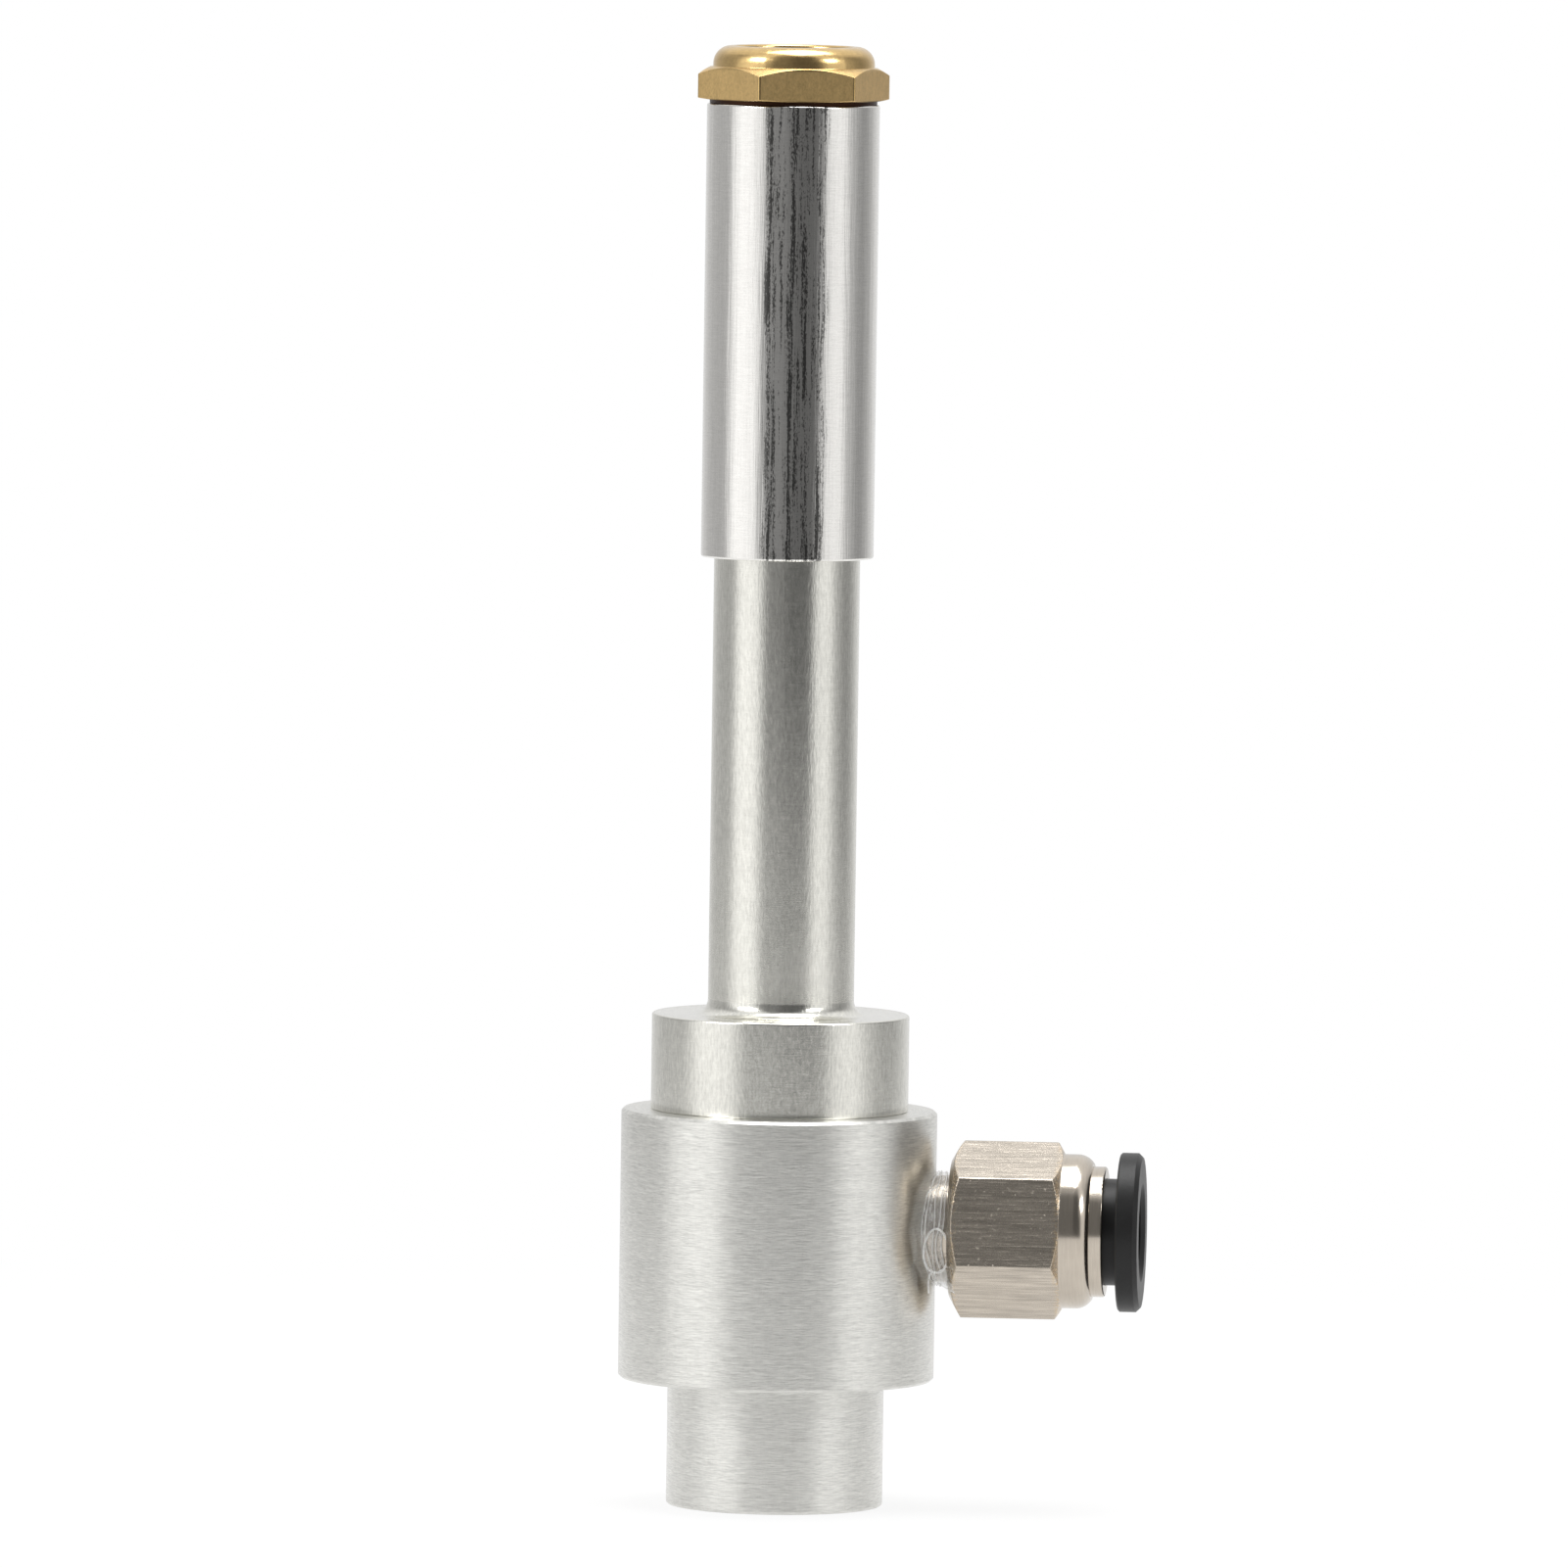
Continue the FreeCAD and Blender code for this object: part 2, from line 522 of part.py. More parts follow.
def make_nozzle_ring():
    """Ring with tangential nozzles that narrow inwards, open on the face that meets the disc."""
    body = new_body("nozzle_ring")
    bore = half("tube_bore")
    turned(body, "ring_blank", [
        (bore, PLENUM_BOTTOM), (NOZZLE_RING, PLENUM_BOTTOM), (NOZZLE_RING, RING_TOP), (bore, RING_TOP),
    ])
    sketch = new_sketch(body, "nozzle_outline", "XY_Plane", PLENUM_BOTTOM)
    draw_outline(sketch, [
        ("0", bore), ("0", f"{bore} - Sizes.nozzle_width"),
        (NOZZLE_RING, f"{bore} - Sizes.nozzle_mouth"), (NOZZLE_RING, bore),
    ])
    nozzle = pocketed(body, "nozzle", sketch, "Sizes.nozzle_height", upward=True)
    repeated(body, "nozzles", nozzle, sketch, "Sizes.nozzle_count")
    return body


def make_cold_orifice():
    """Disc with the orifice, the widening cone below it and a groove for its seal."""
    body = new_body("cold_orifice")
    middle = f"({DISC_BOTTOM} + Sizes.disc_thickness / 2)"
    groove = f"({CHAMBER} - Sizes.disc_groove_depth)"
    groove_bottom = f"({middle} - Sizes.disc_groove_width / 2)"
    groove_top = f"({middle} + Sizes.disc_groove_width / 2)"
    land_end = f"({PLENUM_BOTTOM} - Sizes.orifice_land)"
    turned(body, "turned_disc", [
        (half("orifice_diameter"), PLENUM_BOTTOM), (half("orifice_diameter"), land_end),
        (half("throat_diameter"), DISC_BOTTOM), (NOSE, DISC_BOTTOM), (NOSE, groove_bottom),
        (groove, groove_bottom), (groove, groove_top), (NOSE, groove_top), (NOSE, PLENUM_BOTTOM),
    ])
    seal_ring("orifice_o_ring", CHAMBER, groove, middle)
    return body


def make_end_seals():
    """Seals in the square recesses at the two ends of the body."""
    seal_ring("cold_outlet_o_ring", RECESS, RELIEF, f"{BODY_BOTTOM} + Sizes.recess_width / 2")
    seal_ring("hot_flange_o_ring", RECESS, RELIEF, f"{BODY_TOP} - Sizes.recess_width / 2")


def make_sleeve():
    """Sleeve screwed onto the tube up to its shoulder, with the silencer in its other end."""
    body = new_body("hot_end_sleeve")
    outside = half("sleeve_diameter")
    turned(body, "turned_sleeve", [
        (SLEEVE_BORE, SLEEVE_BOTTOM), (outside, SLEEVE_BOTTOM), (outside, SLEEVE_TOP),
        (SLEEVE_BORE, SLEEVE_TOP),
    ])
    chamfered(body, "sleeve_edges", [(outside, SLEEVE_BOTTOM), (outside, SLEEVE_TOP)], "Sizes.sleeve_edge")
    return body


def make_hot_valve():
    """Cone on a stem below a threaded disc with holes, a groove for its ring and a driver slot."""
    body = new_body("hot_valve")
    disc = f"({half('valve_bore')} - Sizes.fit_clearance)"
    groove = f"({half('valve_bore')} - Sizes.valve_groove_depth)"
    groove_bottom = f"({VALVE_RING_LEVEL} - Sizes.valve_groove_width / 2)"
    groove_top = f"({VALVE_RING_LEVEL} + Sizes.valve_groove_width / 2)"
    turned(body, "turned_valve", [
        ("0", TIP_LEVEL), (half("valve_tip"), TIP_LEVEL), (half("valve_head"), HEAD_LEVEL),
        (half("valve_head"), STEM_LEVEL), (half("valve_stem"), STEM_LEVEL),
        (half("valve_stem"), VALVE_DISC_BOTTOM), (disc, VALVE_DISC_BOTTOM), (disc, groove_bottom),
        (groove, groove_bottom), (groove, groove_top), (disc, groove_top), (disc, VALVE_DISC_TOP),
        ("0", VALVE_DISC_TOP),
    ])
    slot = new_sketch(body, "driver_outline", "XY_Plane", VALVE_DISC_TOP)
    draw_outline(slot, [
        ("-Sizes.drive_width / 2", f"-{disc}"), ("Sizes.drive_width / 2", f"-{disc}"),
        ("Sizes.drive_width / 2", disc), ("-Sizes.drive_width / 2", disc),
    ])
    pocketed(body, "driver_slot", slot, "Sizes.drive_depth")
    hole_sketch = new_sketch(body, "hole_outline", "XY_Plane", VALVE_DISC_TOP)
    radius = value_of(half("valve_hole"))
    centre = FreeCAD.Vector(value_of(half("valve_hole_circle")), 0, 0)
    circle = hole_sketch.addGeometry(Part.Circle(centre, FreeCAD.Vector(0, 0, 1), radius))
    drive(hole_sketch, "DistanceX", circle, 3, half("valve_hole_circle"))
    drive(hole_sketch, "DistanceY", circle, 3, "0")
    index = hole_sketch.addConstraint(Sketcher.Constraint("Radius", circle, radius))
    hole_sketch.setExpression(f"Constraints[{index}]", half("valve_hole"))
    hole = pocketed(body, "air_hole", hole_sketch, "Sizes.valve_disc")
    repeated(body, "air_holes", hole, hole_sketch, "Sizes.valve_hole_count")
    seal_ring("valve_o_ring", half("valve_bore"), groove, VALVE_RING_LEVEL)
    return body


def bevel_hexagon(body, name, flats, face_radius, edge, inward, angle):
    """Turn the corners of a hexagon down to a round face at one end."""
    reach = f"(({flats}) / 2 / cos(30deg) + Sizes.stop_gap)"
    drop = f"(({reach} - {face_radius}) * tan({angle} * 1deg))"
    return turned(body, name, [
        (face_radius, edge), (reach, edge), (reach, f"{edge} {inward} {drop}"),
    ], cut=True)


def make_silencer():
    """Turned body with a beveled hexagon and a rolled rim, and the sintered disc under the rim."""
    body = new_body("silencer_body")
    flats = "Sizes.silencer_flats"
    face = f"({flats} / 2)"
    dome = half("dome_diameter")
    turned(body, "turned_outside", [
        ("0", SILENCER_BOTTOM), (SLEEVE_MALE, SILENCER_BOTTOM), (SLEEVE_MALE, SLEEVE_TOP), (face, SLEEVE_TOP),
        (face, HEXAGON_BOTTOM), (dome, HEXAGON_BOTTOM), (dome, DOME_TOP), ("0", DOME_TOP),
    ])
    sketch = new_sketch(body, "hexagon_outline", "XY_Plane", HEXAGON_BOTTOM, "Sizes.silencer_turn")
    draw_hexagon(sketch, flats)
    padded(body, "hexagon", sketch, "Sizes.silencer_hexagon")
    bevel_hexagon(body, "upper_bevel", flats, face, HEXAGON_TOP, "-", "Sizes.hexagon_bevel")
    bevel_hexagon(body, "lower_bevel", flats, face, HEXAGON_BOTTOM, "+", "Sizes.hexagon_under_bevel")
    filleted(body, "rim_rounding", [(dome, DOME_TOP)], "Sizes.dome_round")
    sinter = half("sinter_diameter")
    vent = half("vent_diameter")
    bore = half("silencer_bore")
    turned(body, "bored_inside", [
        ("0", SILENCER_BOTTOM), (bore, SILENCER_BOTTOM), (bore, SINTER_BOTTOM), (sinter, SINTER_BOTTOM),
        (sinter, SINTER_TOP), (vent, SINTER_TOP), (vent, DOME_TOP), ("0", DOME_TOP),
    ], cut=True)
    disc = doc.addObject("Part::Cylinder", "silencer_disc")
    disc.Label = "silencer_disc"
    disc.setExpression("Radius", f"{sinter} - Sizes.fit_clearance")
    disc.setExpression("Height", "Sizes.sinter_thickness")
    disc.setExpression("Placement.Base.z", SINTER_BOTTOM)
    return body


def make_fitting_body():
    """Stub, hexagon and barrel in one piece, bored for the hose and its holding parts."""
    body = new_body("fitting_body")
    flats = "Sizes.fitting_flats"
    back_face = half("back_face_diameter")
    barrel = half("barrel_diameter")
    turned(body, "turned_outside", [
        ("0", STUB_END), (stub_radius(STUB_END), STUB_END), (STUB, HEX_BACK), (back_face, HEX_BACK),
        (back_face, HEX_FRONT), (barrel, HEX_FRONT), (barrel, BARREL_EDGE, "arc"),
        (half("barrel_face_diameter"), BARREL_FRONT), ("0", BARREL_FRONT),
    ])
    sketch = new_sketch(body, "hexagon_outline", "XY_Plane", HEX_BACK, "Sizes.fitting_turn")
    draw_hexagon(sketch, flats)
    padded(body, "hexagon", sketch, "Sizes.fitting_hexagon")
    bevel_hexagon(body, "back_bevel", flats, back_face, HEX_BACK, "+", "Sizes.fitting_bevel")
    bevel_hexagon(body, "front_bevel", flats, barrel, HEX_FRONT, "-", "Sizes.fitting_bevel")
    turned(body, "bored_inside", [
        ("0", STUB_END), (half("air_bore"), STUB_END), (half("air_bore"), HOSE_STOP), (HOSE, HOSE_STOP),
        (HOSE, SEAL_SEAT), (MOUTH, SEAL_SEAT), (MOUTH, BARREL_FRONT), ("0", BARREL_FRONT),
    ], cut=True)
    key = new_sketch(body, "key_outline", "XY_Plane", HOSE_STOP)
    draw_hexagon(key, "Sizes.key_flats")
    pocketed(body, "key_socket", key, "Sizes.key_depth")
    lay_along_inlet(body)
    return body


def make_fitting_seal():
    """Rubber ring with a lip that the hose opens."""
    body = new_body("fitting_seal")
    lip = half("seal_lip")
    back_bore = f"({lip} + Sizes.seal_lead)"
    front_bore = f"({lip} + Sizes.seal_lead / 2)"
    turned(body, "moulded_ring", [
        (back_bore, SEAL_SEAT), (INSERT, SEAL_SEAT), (INSERT, SEAL_FRONT), (front_bore, SEAL_FRONT),
        (lip, f"{SEAL_FRONT} - Sizes.seal_lead"), (lip, f"{SEAL_SEAT} + Sizes.seal_lead"),
    ])
    lay_along_inlet(body)
    return body


def make_backing_ring():
    """Ring between the seal and the teeth, dished so that the teeth can lean inwards."""
    body = new_body("backing_ring")
    turned(body, "dished_ring", [
        (HOSE, SEAL_FRONT), (INSERT, SEAL_FRONT), (INSERT, CLAW_SEAT), (CLAW_BEND, CLAW_SEAT),
        (HOSE, f"{SEAL_FRONT} + Sizes.backing_lip"),
    ])
    lay_along_inlet(body)
    return body


def make_grip_ring():
    """Spring ring whose teeth lean inwards, towards the hose stop."""
    body = new_body("grip_ring")
    lean = f"(({CLAW_BEND} - {CLAW_TIPS}) * {CLAW_SLOPE})"
    turned(body, "dished_sheet", [
        (CLAW_TIPS, f"{CLAW_SEAT} - {lean}"), (CLAW_BEND, CLAW_SEAT), (INSERT, CLAW_SEAT),
        (INSERT, CLAW_FRONT), (CLAW_BEND, CLAW_FRONT), (CLAW_TIPS, f"{CLAW_FRONT} - {lean}"),
    ])
    sketch = new_sketch(body, "slit_outline", "XY_Plane", CLAW_FRONT)
    draw_outline(sketch, [
        (f"{CLAW_TIPS} / 2", "-Sizes.claw_slit / 2"), (CLAW_BEND, "-Sizes.claw_slit / 2"),
        (CLAW_BEND, "Sizes.claw_slit / 2"), (f"{CLAW_TIPS} / 2", "Sizes.claw_slit / 2"),
    ])
    slit = pocketed(body, "slit", sketch, f"{lean} + Sizes.claw_thickness")
    repeated(body, "slits", slit, sketch, "Sizes.claw_count")
    lay_along_inlet(body)
    return body


def make_guide_ring():
    """Ring pressed into the barrel's mouth: its rim shows, and its lip keeps the collar in."""
    body = new_body("fitting_guide_ring")
    lip = f"({half('collar_neck')} + Sizes.fit_clearance)"
    turned(body, "turned_ring", [
        (lip, LIP_BACK), (lip, RIM_FRONT), (half("rim_diameter"), RIM_FRONT),
        (half("rim_diameter"), BARREL_FRONT), (INSERT, BARREL_FRONT), (INSERT, CLAW_FRONT),
        (half("guide_bore"), CLAW_FRONT), (half("guide_bore"), LIP_BACK),
    ])
    filleted(body, "rim_rounding", [(half("rim_diameter"), RIM_FRONT)], "Sizes.rim_edge")
    lay_along_inlet(body)
    return body


def make_release_collar():
    """Flanged sleeve with a barb behind the guide's lip and a nose that opens the teeth."""
    body = new_body("release_collar")
    neck = half("collar_neck")
    barb = half("collar_barb")
    flange = half("collar_flange")
    turned(body, "moulded_collar", [
        (HOSE, NOSE_TIP), (neck, NOSE_BACK), (neck, f"{BARB_BACK} - Sizes.barb_ramp"), (barb, BARB_BACK),
        (barb, BARB_FRONT), (neck, BARB_FRONT), (neck, COLLAR_BACK), (flange, COLLAR_BACK),
        (flange, COLLAR_FRONT), (HOSE, COLLAR_FRONT),
    ])
    chamfered(body, "front_bevel", [(flange, COLLAR_FRONT)], "Sizes.collar_bevel")
    chamfered(body, "back_edge", [(flange, COLLAR_BACK)], "Sizes.collar_back_edge")
    chamfered(body, "hose_lead", [(HOSE, COLLAR_FRONT)], "Sizes.collar_lead")
    sketch = new_sketch(body, "slit_outline", "XY_Plane", NOSE_TIP)
    draw_outline(sketch, [
        (f"{HOSE} / 2", "-Sizes.collar_slit / 2"), (barb, "-Sizes.collar_slit / 2"),
        (barb, "Sizes.collar_slit / 2"), (f"{HOSE} / 2", "Sizes.collar_slit / 2"),
    ])
    slit = pocketed(body, "slit", sketch, f"{BARB_FRONT} - {NOSE_TIP}", upward=True)
    repeated(body, "slits", slit, sketch, "Sizes.collar_slit_count")
    lay_along_inlet(body)
    return body


def make_thread_tape():
    """Film wound on the bare thread between the body and the hexagon."""
    body = new_body("thread_tape")
    inside = f"({STUB} + Sizes.press_clearance)"
    outside = f"({inside} + Sizes.tape_thickness)"
    near = f"({BODY_SIDE} + Sizes.tape_gap)"
    far = f"({HEX_BACK} - Sizes.tape_gap)"
    turned(body, "wound_film", [(inside, near), (outside, near), (outside, far), (inside, far)])
    lay_along_inlet(body)
    return body


make_cold_outlet()
make_main_body()
make_cold_orifice()
make_nozzle_ring()
make_end_seals()
make_hot_tube()
make_sleeve()
make_hot_valve()
make_silencer()
make_fitting_body()
make_fitting_seal()
make_backing_ring()
make_grip_ring()
make_guide_ring()
make_release_collar()
make_thread_tape()
doc.recompute()

# Every object has to be sound before a sub-part is written.
for item in doc.Objects:
    if "Invalid" in item.State or "Error" in item.State:
        raise RuntimeError(f"{item.Label} did not build: {item.State}")
nodes = [item for item in doc.Objects if item.isDerivedFrom("Part::Feature") and item.getParentGroup() is None
         and item.getParentGeoFeatureGroup() is None]
for node in nodes:
    if node.Shape.isNull() or not node.Shape.isValid():
        raise RuntimeError(f"{node.Label} has no sound shape")
os.makedirs("parts", exist_ok=True)
for node in nodes:
    node.Shape.exportStep(f"parts/{node.Label}.step")
    print(f"{node.Label}: {len(node.Shape.Solids)} solid, {node.Shape.Volume:.1f} cubic mm")
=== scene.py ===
# %% [markdown]
# # A vortex tube in turned aluminium, brass and plated brass
#
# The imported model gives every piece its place. This file adds what a camera notices: the turned and
# polished skins of the aluminium, the softened edges of the two hexagons, the loose thread-seal film,
# a white studio and the camera. All lengths in the cells are in millimetres, and MM turns them into
# the metres that the scene uses.

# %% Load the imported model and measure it
import json
import math

import bpy
import numpy as np
from mathutils import Matrix, Vector


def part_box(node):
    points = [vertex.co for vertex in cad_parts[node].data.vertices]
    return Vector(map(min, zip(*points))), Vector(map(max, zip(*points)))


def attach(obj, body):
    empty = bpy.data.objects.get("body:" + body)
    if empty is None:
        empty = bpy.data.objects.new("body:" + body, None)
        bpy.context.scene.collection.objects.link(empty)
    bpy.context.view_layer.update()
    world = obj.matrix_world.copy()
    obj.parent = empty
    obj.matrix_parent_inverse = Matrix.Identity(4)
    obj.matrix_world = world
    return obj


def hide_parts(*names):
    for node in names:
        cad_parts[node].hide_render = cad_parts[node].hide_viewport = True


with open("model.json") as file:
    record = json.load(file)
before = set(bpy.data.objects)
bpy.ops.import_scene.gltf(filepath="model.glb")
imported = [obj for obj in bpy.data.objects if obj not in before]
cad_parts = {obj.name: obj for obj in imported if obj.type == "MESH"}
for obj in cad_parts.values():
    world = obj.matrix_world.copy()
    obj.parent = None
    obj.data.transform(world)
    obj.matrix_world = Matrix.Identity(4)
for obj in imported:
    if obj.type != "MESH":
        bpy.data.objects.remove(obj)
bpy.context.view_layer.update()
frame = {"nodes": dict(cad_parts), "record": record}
nodes = frame["nodes"]
MM = 0.001
TAU = 2 * math.pi


def span(node, axis):
    """Lowest and highest place of a node along one axis (0, 1 or 2), in millimetres."""
    low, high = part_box(node)
    return low[axis] / MM, high[axis] / MM


# %% [markdown]
# ## Surfaces from arrays
#
# Most of this object was made on a lathe, so most pieces are an outline carried round an axis. A spin
# modifier could do that, but an array of points is easier to steer: a hexagon is the same surface with
# a radius that changes round the axis. Every corner of an outline is replaced by a small arc, because
# a real edge is never perfectly sharp, and the arc is what catches the light.

# %% Round the corners of an outline


def unit(vectors):
    """Each vector divided by its own length."""
    return vectors / np.maximum(np.linalg.norm(vectors, axis=-1, keepdims=True), 1e-12)


def rounded(corners, columns, steps=6):
    """Replace each corner of a closed outline by an arc of `steps` points, for all columns at once.

    A corner is (radius, level, rounding), where radius and level may differ from column to column.
    With unit vectors u and v to the neighbouring corners and half the angle between them h, the arc
    touches the sides t = rounding / tan(h) away from the corner, and its centre lies rounding / sin(h)
    away along u + v. Where the two arcs on a side need more than its length, both are cut by that ratio.
    The points of an arc are its two ends mixed by sines, which keeps them on the circle.
    """
    places = np.array([[np.broadcast_to(value, columns) for value in corner[:2]] for corner in corners])
    places = places.transpose(0, 2, 1).astype(float)
    wanted = np.array([corner[2] for corner in corners], float)[:, None]
    back = np.roll(places, 1, 0) - places
    ahead = np.roll(places, -1, 0) - places
    length = np.linalg.norm(ahead, axis=-1)
    back = unit(back)
    ahead = unit(ahead)
    half = np.arccos(np.clip((back * ahead).sum(-1), -0.999999, 0.999999)) / 2
    touch = wanted / np.tan(half)
    room_for_both = np.minimum(1, 0.96 * length / np.maximum(touch + np.roll(touch, -1, 0), 1e-9))
    touch = touch * np.minimum(room_for_both, np.roll(room_for_both, 1, 0))
    radius = touch * np.tan(half)
    middle = unit(back + ahead)
    centre = places + middle * (radius / np.sin(half))[..., None]
    first = places + back * touch[..., None] - centre
    last = places + ahead * touch[..., None] - centre
    swing = (math.pi - 2 * half)[:, None, :, None]
    share = np.linspace(0, 1, steps)[None, :, None, None]
    arcs = np.sin((1 - share) * swing) * first[:, None] + np.sin(share * swing) * last[:, None]
    return (centre[:, None] + arcs / np.sin(swing)).reshape(-1, columns, 2)


# %% [markdown]
# ## From points to a mesh
#
# An outline carried round an axis is a grid of points, and neighbouring points become faces with four
# corners. Blender can smooth such faces by itself, but then the narrow faces of an arc bend the light on
# the wide face beside it. So the normals are worked out from the grid and handed to the mesh.

# %% Put a grid of points into a mesh


def grid_piece(name, points, body, replaced=(), ring=(True, True)):
    """A mesh through points[row, column], with smooth normals and the grid's shares as its UV map.

    `ring` says whether the rows and the columns close on themselves.

    The normal at a point is the cross product of the steps to its neighbours round the axis and along
    the outline. The steps keep their lengths, so a long flat side outweighs the first short step of an
    arc beside it, and the flat side stays flat in the light.
    """
    rows, columns = points.shape[:2]
    index = np.arange(rows * columns).reshape(rows, columns)
    beside = np.roll(index, -1, 1)
    faces = np.stack([index, beside, np.roll(beside, -1, 0), np.roll(index, -1, 0)], -1)
    faces = faces[:rows if ring[0] else -1, :columns if ring[1] else -1].reshape(-1, 4)
    mesh = bpy.data.meshes.new(name)
    mesh.from_pydata((points * MM).reshape(-1, 3), [], faces)
    mesh.polygons.foreach_set("use_smooth", np.ones(len(faces), bool))
    shares = np.stack(np.meshgrid(np.linspace(0, 1, columns), np.linspace(0, 1, rows)), -1).reshape(-1, 2)
    mesh.uv_layers.new(name="grid").data.foreach_set("uv", shares[faces.reshape(-1)].reshape(-1))
    across = step_between(points, 1, ring[1])
    along = step_between(points, 0, ring[0])
    normals = unit(np.cross(across, along)).reshape(-1, 3)
    mesh.normals_split_custom_set_from_vertices(normals)
    return settle(name, mesh, body, replaced)


def step_between(points, way, ring):
    """From the neighbour before to the neighbour after, one way over the grid."""
    if ring:
        return np.roll(points, -1, way) - np.roll(points, 1, way)
    return np.gradient(points, axis=way)


def settle(name, mesh, body, replaced=()):
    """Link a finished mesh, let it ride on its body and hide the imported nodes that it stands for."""
    piece = bpy.data.objects.new(name, mesh)
    bpy.context.scene.collection.objects.link(piece)
    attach(piece, body)
    if replaced:
        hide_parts(*replaced)
    print(name, "has", len(mesh.polygons), "faces")
    return piece


def round_z(outline, angles):
    """An outline of (radius, height) carried round the tube's own axis."""
    radius, height = outline[..., 0], outline[..., 1]
    return np.stack([radius * np.cos(angles), radius * np.sin(angles), height], -1)


def round_x(outline, angles):
    """An outline of (radius, distance) carried round the inlet's axis."""
    radius, distance = outline[..., 0], outline[..., 1]
    return np.stack([distance, radius * np.cos(angles), INLET_LEVEL + radius * np.sin(angles)], -1)


# %% [markdown]
# ## Hexagons as a radius that changes round the axis
#
# A spanner's hexagon is a radius of a / cos(angle) over each face. Its six upright edges are arcs of
# a small circle, and the columns of the grid are set close together there, so that the bright line
# along each edge is a real curved strip of the mesh and not a trick of shading.

# %% Angles and radii round a hexagon


def hexagon(flats, rounding, turn, side_columns=16, edge_columns=7):
    """Angles and radii round a hexagon with rounded edges, its first edge at `turn` degrees.

    Over a face the radius is a / cos(angle from the middle of the face). Round an edge it comes from
    a circle of the rounding's radius, whose centre is (a - rounding) / cos(30 degrees) from the axis.
    """
    inner = flats / 2
    centre = (inner - rounding) / math.cos(math.pi / 6)
    lean = np.linspace(-math.pi / 6, math.pi / 6, edge_columns)
    edge_angle = np.arctan2(rounding * np.sin(lean), centre + rounding * np.cos(lean))
    edge_radius = np.hypot(rounding * np.sin(lean), centre + rounding * np.cos(lean))
    side_angle = np.linspace(edge_angle[-1], math.pi / 3 - edge_angle[-1], side_columns + 2)[1:-1]
    side_radius = inner / np.cos(side_angle - math.pi / 6)
    angle = np.concatenate([edge_angle, side_angle])
    radius = np.concatenate([edge_radius, side_radius])
    starts = np.arange(6)[:, None] * math.pi / 3 + math.radians(turn)
    return (starts + angle).reshape(-1), np.tile(radius, 6)


ROUND = np.arange(240) * TAU / 240

# %% [markdown]
# ## Levels and sizes
#
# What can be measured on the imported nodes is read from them. The rest are the drawing's own sizes, as
# radii and levels. An o-ring lies in the undercut at the root of each screwed spigot.

# %% Read the levels from the nodes
OUTLET_RADIUS = span("cold_outlet", 0)[1]
OUTLET_BORE = 5.0
BODY_BOTTOM, BODY_TOP = span("main_body", 2)
BODY_RADIUS = -span("main_body", 0)[0]
SLEEVE_BOTTOM, SLEEVE_TOP = span("hot_end_sleeve", 2)
SLEEVE_RADIUS = span("hot_end_sleeve", 0)[1]
TUBE_START, TUBE_END = span("hot_tube", 2)
NECK_RADIUS = span("hot_tube", 0)[1]
NECK_TOP = 44.6
TUBE_RADIUS = 6.6
TUBE_BORE = 4.0
THREAD_RADIUS = 6.15
THREAD_PLAY = 0.05
SCREW_RADIUS = 8.45
UNDERCUT_RADIUS = 8.0
NOSE_RADIUS = 7.45
RECESS_DEPTH = 1.1
UPPER_SHOULDER = 30.9
LOWER_SHOULDER = 19.0
STOP_GAP = 0.1
EDGE = 0.18
FINE_EDGE = 0.06
INLET_LEVEL = sum(span("release_collar", 2)) / 2
HEX_BACK = 15.8
HEX_FRONT = 25.95
print("the inlet's axis is", round(INLET_LEVEL, 2), "mm up")

# %% [markdown]
# ## The four turned aluminium pieces
#
# The outlet, the tube with its neck, and the sleeve are outlines carried round the tube's axis. They
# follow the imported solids, bores and hidden threads included, so that the part can still be taken
# apart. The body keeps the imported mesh, because a round port is cut into its side.
#
# The outlet is one turned piece: the end that shows, an undercut, the screwed spigot and a short nose
# whose bore widens from the orifice disc's throat.

# %% Turn the cold outlet
OUTLET_EDGE = 0.3
CREVICE = 0.12
THROAT_RADIUS = 3.6
THROAT_CONE = 4.0
screw_end = LOWER_SHOULDER - STOP_GAP
outlet_top = span("cold_outlet", 2)[1]
lower_recess = BODY_BOTTOM + RECESS_DEPTH
outlet_outline = rounded([
    (OUTLET_BORE, 0, EDGE), (OUTLET_RADIUS, 0, OUTLET_EDGE), (OUTLET_RADIUS, BODY_BOTTOM, CREVICE),
    (UNDERCUT_RADIUS, BODY_BOTTOM, FINE_EDGE), (UNDERCUT_RADIUS, lower_recess, FINE_EDGE),
    (SCREW_RADIUS, lower_recess, EDGE), (SCREW_RADIUS, screw_end, EDGE),
    (NOSE_RADIUS, screw_end, FINE_EDGE), (NOSE_RADIUS, outlet_top, EDGE),
    (THROAT_RADIUS, outlet_top, FINE_EDGE), (OUTLET_BORE, outlet_top - THROAT_CONE, FINE_EDGE),
], len(ROUND))
outlet = grid_piece("turned_outlet", round_z(outlet_outline, ROUND), "housing",
                    ["cold_outlet"])

# %% [markdown]
# The tube and its neck are turned from one bar. The fillet at the tube's foot is a large arc in the
# outline, because it shows two bright crescents that a sharp corner couldn't have. At the top the tube
# goes on as a thinner screwed end inside the sleeve, with the pocket and the seat of the hot valve.

